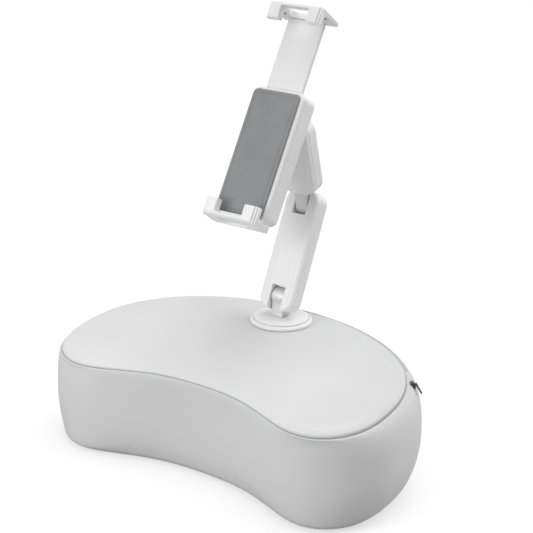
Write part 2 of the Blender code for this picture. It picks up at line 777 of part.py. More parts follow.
body_outline = rounded_outline(HOLDER_WIDTH, HOLDER_BOTTOM, HOLDER_TOP, HOLDER_CORNER)
far = HOLDER_WIDTH
slope_back = body_back
slope = slab("holder_slope", [
    (slope_back - HOLDER_SLOPE, HOLDER_BOTTOM),
    (slope_back - 2 * HOLDER_SLOPE, HOLDER_BOTTOM - HOLDER_SLOPE),
    (slope_back + HOLDER_SLOPE, HOLDER_BOTTOM - HOLDER_SLOPE),
    (slope_back + HOLDER_SLOPE, HOLDER_BOTTOM + 2 * HOLDER_SLOPE),
], -far, far, "X")
cutter(slope, spin)

plate_front = body_front + PLATE_BACKSET - HOLDER_WALL
plate_back = plate_front + PLATE_THICKNESS
plate_half = PLATE_WIDTH / 2
mouth = cutter(box("plate_mouth", (-plate_half - GAP, plate_front - GAP, 0),
                   (plate_half + GAP, plate_back + GAP, HOLDER_TOP + HOLDER_WALL)), spin)
cavity_half = HOLDER_WIDTH / 2 - HOLDER_WALL
slope_wall = HOLDER_SLOPE + HOLDER_WALL
cavity = cutter(slab("holder_hollow", [
    (body_front + HOLDER_WALL, HOLDER_BOTTOM + HOLDER_WALL),
    (body_back - slope_wall, HOLDER_BOTTOM + HOLDER_WALL),
    (body_back - HOLDER_WALL, HOLDER_BOTTOM + slope_wall),
    (body_back - HOLDER_WALL, HOLDER_TOP - HOLDER_WALL),
    (body_front + HOLDER_WALL, HOLDER_TOP - HOLDER_WALL),
], -cavity_half, cavity_half, "X"), spin)
spin_hole = cutter(rod("shell_bolt_hole", bore, shell_wall_front - OVERCUT, body_back + OVERCUT, "Y"), spin)

for word, start, end in (("back_shell", holder_split + GAP / 2, body_back + OVERCUT),
                         ("front_cover", 0, holder_split - GAP / 2)):
    shell = slab(f"holder_{word}", body_outline, body_front, body_back, "Y", HOLDER_EDGE)
    place(shell, WHITE, spin)
    keep = box(f"holder_{word}_keep", (-far, start, HOLDER_BOTTOM - far), (far, end, HOLDER_TOP + far))
    boolean(shell, cutter(keep, spin), "INTERSECT")
    boolean(shell, cavity)
    boolean(shell, mouth)
    if word == "back_shell":
        boolean(shell, slope)
        boolean(shell, spin_hole)


# Claws

finger_front = -TABLET_SPACE - FINGER_DEPTH


def claw(name, profile, window_sign, parent, window_low, window_high):
    """A claw from its side view, notched between the fingers and with a D-shaped window."""
    half = CLAW_WIDTH / 2
    made = slab(name, profile, -half, half, "X", CLAW_EDGE)
    place(made, WHITE, parent)
    gap = FINGER_GAP / 2
    tip = (FINGER_TIP - OVERCUT) * window_sign
    bar = CROSSBAR_TOP * window_sign
    front = finger_front - OVERCUT
    notch = box(name + "_notch", (-gap, front, min(tip, bar)), (gap, -TABLET_SPACE + GAP, max(tip, bar)))
    boolean(made, cutter(notch, parent))
    for side in (-1, 1):
        for number in (1, 2):
            wide = side * (half - FINGER_STEP * number)
            past = side * (half + OVERCUT)
            corner = box(f"{name}_step_{number}", (min(wide, past), front, -CLAW_WIDTH * 2),
                         (max(wide, past), finger_front + FINGER_STEP * (3 - number), CLAW_WIDTH * 2))
            boolean(made, cutter(corner, parent))
    points = [(-gap, -TABLET_SPACE), (gap, -TABLET_SPACE)]
    for step in range(9):
        angle = math.pi * step / 8
        points.append((gap * math.cos(angle), -TABLET_SPACE + WINDOW_DEPTH * (0.35 + 0.65 * math.sin(angle))))
    window = slab(name + "_window", [(x, -y) for x, y in points], -window_high, -window_low, "Y")
    window.data.transform(Matrix.Rotation(-math.pi / 2, 4, "X"))
    boolean(made, cutter(window, parent))
    return made


claw("lower_claw", [
    (finger_front, -FINGER_TIP), (-TABLET_SPACE, -FINGER_TIP), (-TABLET_SPACE, -LEDGE),
    (-GAP, -LEDGE), (-GAP, HOLDER_BOTTOM - GAP), (CLAW_BACK, HOLDER_BOTTOM - GAP),
    (CLAW_BACK, -CLAW_BACK_END), (finger_front, -CLAW_FRONT_END),
], -1, spin, -CLAW_BACK_END - OVERCUT, -LEDGE + OVERCUT)

slide = frame("claw_slide_frame", spin, (0, 0, UPPER_SHIFT))
claw("upper_claw", [
    (finger_front, FINGER_TIP), (-TABLET_SPACE, FINGER_TIP), (-TABLET_SPACE, LEDGE),
    (UPPER_CLAW_BACK, LEDGE), (UPPER_CLAW_BACK, UPPER_BACK_END), (finger_front, CLAW_FRONT_END),
], 1, slide, LEDGE - OVERCUT, CLAW_BACK_END)

plate = slab("slide_plate", rounded_outline(PLATE_WIDTH, PLATE_END - UPPER_SHIFT, LEDGE - GAP, CLAW_PAD),
             plate_front, plate_back, "Y")
place(plate, WHITE, slide)

pad_width = (CLAW_WIDTH - FINGER_GAP) / 2 - 2 * CLAW_PAD_MARGIN
for side, word in ((1, "right"), (-1, "left")):
    middle = side * (CLAW_WIDTH + FINGER_GAP) / 4
    low_x = middle - pad_width / 2
    high_x = middle + pad_width / 2
    lower_pad = box(f"lower_claw_pad_{word}", (low_x, -TABLET_SPACE + CLAW_PAD_MARGIN, -LEDGE + GAP),
                    (high_x, -CLAW_PAD_MARGIN, -LEDGE + GAP + CLAW_PAD))
    place(lower_pad, RUBBER, spin)
    upper_pad = box(f"upper_claw_pad_{word}",
                    (low_x, -TABLET_SPACE + CLAW_PAD_MARGIN, LEDGE - GAP - CLAW_PAD),
                    (high_x, -CLAW_PAD_MARGIN, LEDGE - GAP))
    place(upper_pad, RUBBER, slide)


# Return spring, from the holder's lower end to the slide plate

def spring_curve():
    curve = bpy.data.curves.new("return_spring", "CURVE")
    curve.dimensions = "3D"
    curve.bevel_depth = SPRING_WIRE
    curve.bevel_resolution = 0
    curve.use_fill_caps = True
    low = SPRING_ANCHOR
    high = PLATE_END - GAP - SPRING_WIRE
    middle_y = (plate_front + plate_back) / 2
    steps = SPRING_TURNS * SPRING_STEPS
    spline = curve.splines.new("POLY")
    spline.points.add(steps)
    for number in range(steps + 1):
        angle = 2 * math.pi * number / SPRING_STEPS
        spline.points[number].co = (
            SPRING_RADIUS * math.cos(angle), middle_y + SPRING_RADIUS * math.sin(angle),
            low + (high - low) * number / steps, 1)
    made = bpy.data.objects.new("return_spring", curve)
    parts.objects.link(made)
    made.parent = spin
    curve.materials.append(STEEL)


spring_curve()


# Zip along the back of the seam, closed at the right end

def wall_frame(index):
    """A point just under the seam with its axes: along, inward, up the wall."""
    high = wall_ring(BAND_LEVELS[0], 0, BAND_TOP)[index]
    middle = wall_ring(BAND_LEVELS[1], 0, BAND_TOP)[index]
    low = wall_ring(BAND_LEVELS[2], 0, BAND_TOP)[index]
    normal = NORMALS[index]
    along = Vector((-normal.y, normal.x, 0))
    upward = (high - low).normalized()
    upward = (upward - along * upward.dot(along)).normalized()
    inward = upward.cross(along).normalized()
    return middle, along, inward, upward


first = FRONT_STEPS + LOBE_STEPS + ZIP_STEP
last = len(OUTLINE) - first
chain_rings = []
for index in range(first + 1, last + 1):
    centre, along, inward, upward = wall_frame(index)
    ring_points = []
    for across, out in ((-1, GAP), (1, GAP), (1, GAP + CHAIN_THICKNESS), (-1, GAP + CHAIN_THICKNESS)):
        ring_points.append(centre + upward * across * CHAIN_HEIGHT / 2 - inward * out)
    chain_rings.append(ring_points)
place(loft("zip_chain", chain_rings), FABRIC)

centre, along, inward, upward = wall_frame(first)
zip_frame = frame("zip_slider_frame")
zip_frame.matrix_world = Matrix.Translation(centre) @ Matrix((
    (along.x, inward.x, upward.x, 0), (along.y, inward.y, upward.y, 0),
    (along.z, inward.z, upward.z, 0), (0, 0, 0, 1)))
width, depth, height = SLIDER_SIZE
place(box("zip_slider", (-width / 2, -GAP - depth, -height / 2), (width / 2, -GAP, height / 2)),
      DARK_METAL, zip_frame)
pull_frame = frame("zip_pull_frame", zip_frame, (0, -GAP - depth - PULL_OFFSET, 0))
width, depth, height = PULL_SIZE
place(box("zip_pull", (-width / 2, -depth / 2, -height + depth / 2), (width / 2, depth / 2, depth / 2)),
      DARK_METAL, pull_frame)
bpy.context.view_layer.update()
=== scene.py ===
"""Looks of the tablet cushion stand, piece by piece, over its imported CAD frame."""

import json
import math

import bmesh
import bpy
import numpy as np
from mathutils import Matrix, Vector
from mathutils.bvhtree import BVHTree


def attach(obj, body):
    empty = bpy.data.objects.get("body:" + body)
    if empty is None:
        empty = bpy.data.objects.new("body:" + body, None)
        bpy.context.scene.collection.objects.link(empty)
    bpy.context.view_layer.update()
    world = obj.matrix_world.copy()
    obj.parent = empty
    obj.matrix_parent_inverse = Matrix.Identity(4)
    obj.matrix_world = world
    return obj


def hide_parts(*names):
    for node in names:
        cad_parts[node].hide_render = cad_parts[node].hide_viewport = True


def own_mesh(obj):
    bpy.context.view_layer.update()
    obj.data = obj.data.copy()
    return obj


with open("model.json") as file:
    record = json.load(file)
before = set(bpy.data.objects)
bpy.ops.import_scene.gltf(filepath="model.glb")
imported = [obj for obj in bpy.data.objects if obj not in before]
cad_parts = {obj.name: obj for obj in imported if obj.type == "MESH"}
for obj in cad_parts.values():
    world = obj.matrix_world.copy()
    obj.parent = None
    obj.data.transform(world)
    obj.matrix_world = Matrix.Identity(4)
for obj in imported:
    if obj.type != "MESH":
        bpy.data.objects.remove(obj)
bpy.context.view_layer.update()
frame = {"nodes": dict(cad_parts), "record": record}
nodes = frame["nodes"]

# Viewpoint and studio.
# The photograph was taken from the front right, a little above the stand, with a long lens.
# A pale floor and a white surround, a softbox at the front left, and wide lamps overhead and behind.

VIEW_AZIMUTH = math.radians(35.06)
VIEW_ELEVATION = math.radians(19.09)
VIEW_ROLL = math.radians(1.36)
VIEW_PLACE = Vector((0.7729, -1.0724, 0.6492))
VIEW_FOCAL_PX = 1483.84      # for a picture 533 px wide
PICTURE_PX = 533
SENSOR_MM = 36

lens = bpy.data.cameras.new("viewpoint")
lens.sensor_width = SENSOR_MM
lens.lens = VIEW_FOCAL_PX / PICTURE_PX * SENSOR_MM
camera = bpy.data.objects.new("viewpoint", lens)
bpy.context.scene.collection.objects.link(camera)
level_right = Vector((math.cos(VIEW_AZIMUTH), math.sin(VIEW_AZIMUTH), 0))
backward = Vector((level_right.y * math.cos(VIEW_ELEVATION), -level_right.x * math.cos(VIEW_ELEVATION),
                   math.sin(VIEW_ELEVATION)))
level_up = backward.cross(level_right)
right = math.cos(VIEW_ROLL) * level_right + math.sin(VIEW_ROLL) * level_up
upward = -math.sin(VIEW_ROLL) * level_right + math.cos(VIEW_ROLL) * level_up
camera.matrix_world = Matrix.Translation(VIEW_PLACE) @ Matrix(
    (right, upward, backward)).transposed().to_4x4()
bpy.context.scene.camera = camera
bpy.context.scene.view_settings.view_transform = "Standard"


def paint(code):
    """An sRGB hex colour as linear red, green, blue and 1."""
    parts = [int(code[i:i + 2], 16) / 255 for i in (1, 3, 5)]
    return [p / 12.92 if p <= 0.04045 else ((p + 0.055) / 1.055) ** 2.4 for p in parts] + [1]


def add_node(tree, kind, settings=None, links=None):
    """Add one node, set its sockets or properties, and link its inputs."""
    node = tree.nodes.new(kind)
    for key, value in (settings or {}).items():
        if isinstance(key, int) or key in node.inputs:
            node.inputs[key].default_value = value
        else:
            setattr(node, key, value)
    for key, source in (links or {}).items():
        tree.links.new(source, node.inputs[key])
    return node


def new_finish(name):
    """An empty node material and its tree."""
    made = bpy.data.materials.new(name)
    made.use_nodes = True
    made.node_tree.nodes.clear()
    return made, made.node_tree


def noise_over(tree, scale, detail, stretch=None):
    """Noise on the piece's own coordinates, its scale in repeats to the metre."""
    place = add_node(tree, "ShaderNodeTexCoord").outputs["Object"]
    if stretch:
        place = add_node(tree, "ShaderNodeMapping", {"Scale": stretch}, {"Vector": place}).outputs[0]
    return add_node(tree, "ShaderNodeTexNoise", {"Scale": scale, "Detail": detail}, {"Vector": place})


def two_tones(tree, factor, low, high, ends=(0, 1)):
    """A blend of two paints between two levels of a factor."""
    ramp = add_node(tree, "ShaderNodeValToRGB", {}, {"Fac": factor})
    for stop, level, code in zip(ramp.color_ramp.elements, ends, (low, high)):
        stop.position = level
        stop.color = paint(code)
    return ramp


def between(tree, factor, low, high):
    """A factor of 0 to 1 stretched between two values."""
    return add_node(tree, "ShaderNodeMapRange", {"To Min": low, "To Max": high}, {"Value": factor}).outputs[0]


def surfaced(tree, settings, links):
    """The shading that ends a material's tree."""
    skin = add_node(tree, "ShaderNodeBsdfPrincipled", settings, links)
    add_node(tree, "ShaderNodeOutputMaterial", {}, {"Surface": skin.outputs[0]})


def placed(name, data):
    """A new object in the scene, at the origin."""
    made = bpy.data.objects.new(name, data)
    bpy.context.scene.collection.objects.link(made)
    return made


studio = bpy.data.worlds.new("white_surround")
bpy.context.scene.world = studio
studio.use_nodes = True
tree = studio.node_tree
tree.nodes.clear()
path = add_node(tree, "ShaderNodeLightPath")
seen = add_node(tree, "ShaderNodeMath", {"operation": "MAXIMUM"},
                {0: path.outputs["Is Camera Ray"], 1: path.outputs["Is Transmission Ray"]})
seen = add_node(tree, "ShaderNodeMath", {"operation": "MAXIMUM"},
                {0: seen.outputs[0], 1: path.outputs["Is Glossy Ray"]})
SURROUND_LIGHT = 0.45
strength = add_node(tree, "ShaderNodeMath", {"operation": "MULTIPLY_ADD", 1: 1 - SURROUND_LIGHT,
                                             2: SURROUND_LIGHT}, {0: seen.outputs[0]})
glow = add_node(tree, "ShaderNodeBackground", {"Color": (1, 1, 1, 1)}, {"Strength": strength.outputs[0]})
add_node(tree, "ShaderNodeOutputWorld", {}, {"Surface": glow.outputs[0]})


def soft_lamp(name, towards, strength, spread):
    """An even lamp from one side of the studio; spread is how wide it looks, in degrees."""
    lamp = bpy.data.lights.new(name, "SUN")
    lamp.energy = strength * math.pi
    lamp.angle = math.radians(spread)
    made = placed(name, lamp)
    made.rotation_euler = Vector(towards).to_track_quat("Z", "Y").to_euler()


soft_lamp("back_right_lamp", (0.525, 0.63, 0.57), 0.40, 60)
soft_lamp("overhead_lamp", (0.0, 0.1, 1.0), 0.29, 40)
SOFTBOX_SIDE = 0.5
SOFTBOX_WATTS = 3.8
SOFTBOX_PLACE = Vector((-0.25, -0.85, 0.45))
AIM_HEIGHT = 0.07            # it looks at the middle of the cushion
softbox = bpy.data.lights.new("front_left_softbox", "AREA")
softbox.shape = "SQUARE"
softbox.size = SOFTBOX_SIDE
softbox.energy = SOFTBOX_WATTS
stand = placed("front_left_softbox", softbox)
stand.location = SOFTBOX_PLACE
stand.rotation_euler = (SOFTBOX_PLACE - Vector((0, 0, AIM_HEIGHT))).to_track_quat("Z", "Y").to_euler()

FLOOR_HALF = 6
FLOOR_DROP = 0.0004          # keeps the floor clear of the cushion's underside
floor_mesh = bpy.data.meshes.new("floor")
floor_mesh.from_pydata([(-FLOOR_HALF, -FLOOR_HALF, 0), (FLOOR_HALF, -FLOOR_HALF, 0),
                        (FLOOR_HALF, FLOOR_HALF, 0), (-FLOOR_HALF, FLOOR_HALF, 0)], [], [(0, 1, 2, 3)])
floor = placed("floor", floor_mesh)
pale_floor, tree = new_finish("pale_floor")
path = add_node(tree, "ShaderNodeLightPath")
FLOOR_GREY = 0.42            # also what it throws back up on the walls of the cushion
FLOOR_GLOW = 0.60            # added where the camera sees it, so that it joins the white surround
body = add_node(tree, "ShaderNodeBsdfDiffuse", {"Color": (FLOOR_GREY, FLOOR_GREY, FLOOR_GREY, 1)})
level = add_node(tree, "ShaderNodeMath", {"operation": "MULTIPLY", 1: FLOOR_GLOW},
                 {0: path.outputs["Is Camera Ray"]})
glow = add_node(tree, "ShaderNodeEmission", {}, {"Strength": level.outputs[0]})
both = add_node(tree, "ShaderNodeAddShader", {}, {0: body.outputs[0], 1: glow.outputs[0]})
add_node(tree, "ShaderNodeOutputMaterial", {}, {"Surface": both.outputs[0]})
floor_mesh.materials.append(pale_floor)
floor.location.z = -FLOOR_DROP


# Cushion: a sewn cover of smooth stretch fabric over a firm foam block.
# The cover is one closed crowned form, let out by a cloth simulation between its seams.
# The sewn seams are pressed in afterwards, with the slight gathers that the thread pulls.

HALF_LENGTH = 0.190
BACK_REACH = 0.160           # from the line through the two ends
END_Y = -0.037
LOBE_X = 0.126
LOBE_Y = -0.100
FRONT_HOLLOW = 0.027
HOLLOW_SKEW = 1.3
BACK_FULLNESS = 2.2          # 2 would be a plain ellipse
SEAM_HEIGHT = 0.1045         # over y = 0
SEAM_SLOPE = 0.12            # rise towards the back
CROWN = 0.0105               # fullness of the top over its seam
CROWN_SHAPE = 0.6
SHOULDER = 0.034             # height of the rounded part of the wall
FOOT_ROUND = 0.008
SHOULDER_INSET = (0.0, 0.007, 0.011)         # front, end, back
TOP_LEAN = (-0.0025, 0.005, 0.019)
FOOT_LEAN = (0.001, 0.0165, 0.0115)
FOOT_Y = 0.0562
DECK = 0.1192                # flat under the foot
CROWN_LIMIT = 0.1212
DECK_RADIUS = 0.0306
DECK_FADE = 0.030
COLUMNS = 240

half = []
for t in np.linspace(0, 1, 160, endpoint=False):
    half.append((LOBE_X * t, LOBE_Y + FRONT_HOLLOW * (1 + math.cos(math.pi * t ** HOLLOW_SKEW)) / 2))
for a in np.linspace(-math.pi / 2, 0, 120, endpoint=False):
    half.append((LOBE_X + (HALF_LENGTH - LOBE_X) * math.cos(a),
                 END_Y + (END_Y - LOBE_Y) * math.sin(a)))
for a in np.linspace(0, math.pi / 2, 240):
    half.append((HALF_LENGTH * max(0, math.cos(a)) ** (2 / BACK_FULLNESS),
                 END_Y + BACK_REACH * math.sin(a) ** (2 / BACK_FULLNESS)))
half = np.array(half)
half[-1, 0] = 0
run = np.concatenate(([0], np.cumsum(np.hypot(*np.diff(half, axis=0).T))))
marks = np.linspace(0, run[-1], COLUMNS // 2 + 1)
half = np.stack((np.interp(marks, run, half[:, 0]), np.interp(marks, run, half[:, 1])), 1)
outline = np.concatenate((half, half[-2:0:-1] * (-1, 1)))
OUTLINE_RUN = 2 * run[-1]
along = np.roll(outline, -1, 0) - np.roll(outline, 1, 0)
along /= np.hypot(*along.T)[:, None]
facing = np.stack((along[:, 1], -along[:, 0]), 1)


def mixed(values):
    """Front, end and back values mixed by the way that the wall faces."""
    front, end, back = values
    share = facing[:, 1] ** 2
    return end + (np.where(facing[:, 1] < 0, front, back) - end) * share


seam_line = SEAM_HEIGHT + SEAM_SLOPE * outline[:, 1]


def wall_row(height):
    """One row of the wall at a height for each column."""
    level = 2 * height / seam_line - 1
    offset = -np.where(level > 0, mixed(TOP_LEAN), mixed(FOOT_LEAN)) * level ** 2
    rise = np.clip((height - (seam_line - SHOULDER)) / SHOULDER, 0, 1)
    offset -= mixed(SHOULDER_INSET) * (1 - np.sqrt(1 - rise ** 2))
    drop = np.clip(1 - height / FOOT_ROUND, 0, 1)
    offset -= FOOT_ROUND * (1 - np.sqrt(1 - drop ** 2))
    flat = outline + facing * offset[:, None]
    return np.column_stack((flat, height))


edge = wall_row(seam_line)
centre_y = (END_Y + BACK_REACH + LOBE_Y + FRONT_HOLLOW) / 2


def crown_row(scale):
    """One ring of the crowned top, shrunk towards the cushion's middle line."""
    middle_x = np.clip(edge[:, 0], -LOBE_X, LOBE_X)
    middle_y = END_Y + (centre_y - END_Y) * (1 - (middle_x / LOBE_X) ** 2)
    px = middle_x + (edge[:, 0] - middle_x) * scale
    py = middle_y + (edge[:, 1] - middle_y) * scale
    height = SEAM_HEIGHT + SEAM_SLOPE * (middle_y + (outline[:, 1] - middle_y) * scale)
    height = np.minimum(height + CROWN * max(0, 1 - scale ** 2) ** CROWN_SHAPE, CROWN_LIMIT)
    share = np.clip((np.hypot(px, py - FOOT_Y) - DECK_RADIUS) / DECK_FADE, 0, 1)
    share = share * share * (3 - 2 * share)
    if scale < 1:
        height = DECK + (height - DECK) * share
    return np.column_stack((px, py, height))


crown_scales = [1, 0.998, 0.994, 0.988, 0.98, 0.97, 0.955, 0.935] + list(np.linspace(0.91, 0, 40))
crown_rows = np.concatenate([crown_row(scale) for scale in crown_scales])


def rows_of_faces(count):
    """The four-sided faces between rows of points that each go once round the cushion."""
    faces = []
    for r in range(count - 1):
        for c in range(COLUMNS):
            d = (c + 1) % COLUMNS
            faces.append((r * COLUMNS + c, r * COLUMNS + d, (r + 1) * COLUMNS + d, (r + 1) * COLUMNS + c))
    return faces


crown_tree = BVHTree.FromPolygons([tuple(p) for p in crown_rows], rows_of_faces(len(crown_scales)))


def top_row(scale):
    """A ring of the top, drawn in towards the foot and laid on the crown."""
    flat = np.array((0, FOOT_Y)) + (edge[:, :2] - (0, FOOT_Y)) * scale
    row = []
    for x, y in flat:
        hit = crown_tree.ray_cast(Vector((x, y, 1)), Vector((0, 0, -1)))[0]
        row.append((x, y, hit.z if hit else DECK))
    return np.array(row)


SEAM_STEPS = (0.0004, 0.0009, 0.0017, 0.0030)
rows = []
kinds = []
for scale in (0.15, 0.4, 0.65, 0.85, 0.96):
    low = wall_row(np.zeros(COLUMNS))
    rows.append(low * (scale, scale, 1))
    kinds.append("base")
for angle in np.linspace(0, math.pi / 2, 7):
    rows.append(wall_row(np.full(COLUMNS, FOOT_ROUND * (1 - math.cos(angle)))))
    kinds.append("base" if angle == 0 else "wall")
for share in np.linspace(0, 1, 13)[1:]:
    rows.append(wall_row(FOOT_ROUND + (seam_line - SHOULDER - FOOT_ROUND) * share))
    kinds.append("wall")
for angle in np.linspace(0, math.pi / 2, 12)[1:-2]:
    rows.append(wall_row(seam_line - SHOULDER + SHOULDER * math.sin(angle)))
    kinds.append("wall")
for step in SEAM_STEPS[::-1]:
    rows.append(wall_row(seam_line - step))
    kinds.append("below_seam")
seam_row = len(rows)
rows.append(edge.copy())
kinds.append("seam")
middle_run = np.hypot(edge[:, 0], edge[:, 1] - FOOT_Y)
for step in SEAM_STEPS:
    inset = step / middle_run.mean()
    rows.append(top_row(1 - inset))
    kinds.append("above_seam")
for scale in [0.965, 0.945, 0.92, 0.89] + list(np.linspace(0.855, 0.12, 22)):
    rows.append(top_row(scale))
    kinds.append("top")


def closed_body(name, rings, along_run):
    """Rings joined in order, with both ends closed by a fan, and a cloth map in metres."""
    work = bmesh.new()
    cloth_map = work.loops.layers.uv.new("cloth_map")
    made = [[work.verts.new(point) for point in ring] for ring in rings]
    climb = [0.0]
    for below, above in zip(rings, rings[1:]):
        climb.append(climb[-1] + float(np.linalg.norm(above - below, axis=1).mean()))
    for r in range(len(rings) - 1):
        for c in range(COLUMNS):
            d = (c + 1) % COLUMNS
            face = work.faces.new((made[r][c], made[r][d], made[r + 1][d], made[r + 1][c]))
            flat = kinds[r] in ("base", "seam", "above_seam", "top")
            spots = ((c, r), (c + 1, r), (c + 1, r + 1), (c, r + 1))
            for loop, (column, row) in zip(face.loops, spots):
                if flat:
                    loop[cloth_map].uv = (loop.vert.co.x, loop.vert.co.y)
                else:
                    loop[cloth_map].uv = (column * along_run / COLUMNS, climb[row])
    for ring in (made[0], made[-1]):
        hub = work.verts.new(sum((v.co for v in ring), Vector()) / len(ring))
        for c in range(COLUMNS):
            face = work.faces.new((ring[c], ring[(c + 1) % COLUMNS], hub))
            for loop in face.loops:
                loop[cloth_map].uv = (loop.vert.co.x, loop.vert.co.y)
    bmesh.ops.recalc_face_normals(work, faces=work.faces)
    for face in work.faces:
        face.smooth = True
    mesh = bpy.data.meshes.new(name)
    work.to_mesh(mesh)
    work.free()
    # Painted shadow along the seam's fold: strongest on the seam row, faint on the rows beside it.
    shade = np.zeros(len(mesh.vertices))
    for row, depth in ((seam_row - 1, 0.15), (seam_row, 0.85), (seam_row + 1, 0.15)):
        shade[row * COLUMNS:(row + 1) * COLUMNS] = depth
    mesh.attributes.new("painted_seam_shadow", "FLOAT", "POINT").data.foreach_set("value", shade)
    return placed(name, mesh)


# Between its seams the cover swells a little under the foam's push.
SWELL_CAP = 0.0012
SETTLED = 20                 # the last step of the simulation
sim_rows = [r for r, kind in enumerate(kinds) if kind not in ("below_seam", "above_seam")]
swell = np.zeros((len(rows), COLUMNS, 3))
blank = bpy.data.meshes.new("cover_blank")
points = np.concatenate([rows[r] for r in sim_rows])
faces = rows_of_faces(len(sim_rows))
faces.append(list(range(COLUMNS))[::-1])
faces.append([(len(sim_rows) - 1) * COLUMNS + c for c in range(COLUMNS)])
blank.from_pydata([tuple(p) for p in points], [], faces)
blank_body = placed("cover_blank", blank)
held = blank_body.vertex_groups.new(name="sewn")
for place, r in enumerate(sim_rows):
    for c in range(COLUMNS):
        near_foot = math.hypot(rows[r][c, 0], rows[r][c, 1] - FOOT_Y) < DECK_RADIUS + 0.006
        if kinds[r] in ("base", "seam") or (kinds[r] == "top" and near_foot):
            held.add([place * COLUMNS + c], 1.0, "REPLACE")
cloth = blank_body.modifiers.new("cloth", "CLOTH")
cloth.settings.vertex_group_mass = "sewn"
cloth.settings.quality = 5
cloth.settings.mass = 0.3
cloth.settings.use_pressure = True
cloth.settings.uniform_pressure_force = 4
cloth.settings.shrink_min = -0.012
cloth.settings.tension_stiffness = 15
cloth.settings.compression_stiffness = 15
cloth.settings.bending_stiffness = 0.5
cloth.settings.effector_weights.gravity = 0
cloth.point_cache.frame_start = 1
cloth.point_cache.frame_end = SETTLED
for number in range(1, SETTLED + 1):
    bpy.context.scene.frame_set(number)
graph = bpy.context.evaluated_depsgraph_get()
done = blank_body.evaluated_get(graph).data
after = np.array([v.co for v in done.vertices], float).reshape(len(sim_rows), COLUMNS, 3)
move = after - points.reshape(after.shape)
bpy.data.objects.remove(blank_body, do_unlink=True)
bpy.context.scene.frame_set(1)
for shift in (1, 2, 4):  # evened out along the wall
    move = (np.roll(move, shift, 1) + 2 * move + np.roll(move, -shift, 1)) / 4
length = np.linalg.norm(move, axis=2, keepdims=True)
move *= np.tanh(length / SWELL_CAP) * SWELL_CAP / np.maximum(length, 1e-9)
for r in range(len(rows)):
    later = min((s for s in sim_rows if s >= r), default=sim_rows[-1])
    sooner = max(s for s in sim_rows if s <= r)
    share = 0 if later == sooner else (r - sooner) / (later - sooner)
    swell[r] = move[sim_rows.index(sooner)] * (1 - share) + move[sim_rows.index(later)] * share

ZIP_END = Vector((0.174, 0.035))
gathers = np.random.default_rng(7)
reach = np.arange(COLUMNS) * OUTLINE_RUN / COLUMNS
pull = np.zeros(COLUMNS)
for wave in range(26, 96):   # gathers of 10 to 40 mm
    pull += gathers.normal() * np.sin(2 * math.pi * wave * reach / OUTLINE_RUN
                                      + gathers.uniform(0, 6.28))
pull /= np.abs(pull).max()
to_zip = np.hypot(outline[:, 0] - ZIP_END.x, outline[:, 1] - ZIP_END.y)
gather = 0.00012 + 0.0006 * np.exp(-(to_zip / 0.035) ** 2)   # strongest where the zip ends
outward = np.column_stack((facing, np.full(COLUMNS, 0.9)))
outward /= np.linalg.norm(outward, axis=1)[:, None]
SEAM_PRESS = (0.0012, 0.0005, 0.0, -0.0002, -0.0001)
final_rows = []
for r, row in enumerate(rows):
    row = row + swell[r]
    away = abs(r - seam_row)
    if away <= 4:
        row = row - outward * SEAM_PRESS[away]
    if away and kinds[r] != "base":
        seam = final_rows[seam_row] if r > seam_row else edge
        drift = np.linalg.norm(row - seam, axis=1)
        fold = gather * pull * np.exp(-drift / 0.006) * np.minimum(1, drift / 0.002)
        row = row + outward * fold[:, None]
    final_rows.append(row)

cushion = closed_body("cushion", final_rows, OUTLINE_RUN)
smooth = cushion.modifiers.new("smooth", "SUBSURF")
smooth.levels = 1
smooth.render_levels = 1

# Knitted polyester with a brushed face: matt, soft, with a faint halo at grazing angles.
# The fold of the seam gets a painted shadow, carried by an attribute of the mesh.
knit, tree = new_finish("brushed_polyester_knit")
THREAD = 0.0007
BAND = 2 * math.pi / 20 / THREAD     # a wave texture has 20 / (2 pi) bands to the unit
cloth_uv = add_node(tree, "ShaderNodeUVMap", {"uv_map": "cloth_map"})
warp, weft = [add_node(tree, "ShaderNodeTexWave",
                       {"bands_direction": way, "Scale": BAND, "Distortion": 1.2, "Detail Scale": 2.0},
                       {"Vector": cloth_uv.outputs[0]}) for way in "XY"]
threads = add_node(tree, "ShaderNodeMath", {"operation": "MULTIPLY"},
                   {0: warp.outputs["Fac"], 1: weft.outputs["Fac"]})
pile = noise_over(tree, 900.0, 3.0)
nap = noise_over(tree, 9.0, 2.0)
relief = add_node(tree, "ShaderNodeMath", {"operation": "MULTIPLY_ADD", 1: 0.5},
                  {0: pile.outputs["Fac"], 2: threads.outputs[0]})
bump = add_node(tree, "ShaderNodeBump", {"Strength": 0.22, "Distance": 0.00012},
                {"Height": relief.outputs[0]})
shade = add_node(tree, "ShaderNodeMath", {"operation": "MULTIPLY_ADD", 1: 0.35},
                 {0: threads.outputs[0], 2: nap.outputs["Fac"]})
tint = two_tones(tree, shade.outputs[0], "#D2D2D3", "#DCDCDD", (0.25, 0.95))
# Painted seam shadow: a dark grey mixed into the fabric's tint by the mesh attribute.
seam_shadow_paint = add_node(tree, "ShaderNodeAttribute", {"attribute_name": "painted_seam_shadow"})
tint_and_seam_shadow = add_node(tree, "ShaderNodeMix", {"data_type": "RGBA", 7: paint("#6E6E71")},
                  {0: seam_shadow_paint.outputs["Fac"], 6: tint.outputs["Color"]})
surfaced(tree, {"Roughness": 0.72, "IOR": 1.45, "Sheen Weight": 0.12, "Sheen Roughness": 0.45,
                "Specular IOR Level": 0.35},
         {"Base Color": tint_and_seam_shadow.outputs[2], "Normal": bump.outputs["Normal"]})
cushion.data.materials.append(knit)
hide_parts("cover_top_panel", "cover_side_band", "cover_bottom_panel", "foam_core")
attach(cushion, "cushion")


# Zip: a closed nylon coil on a woven tape, set into the wall under the seam at the back.
# The coil's turns repeat along the tape; the slider is parked at the right end.
# The slider and its pull are zinc die castings with a dark electroplated finish.

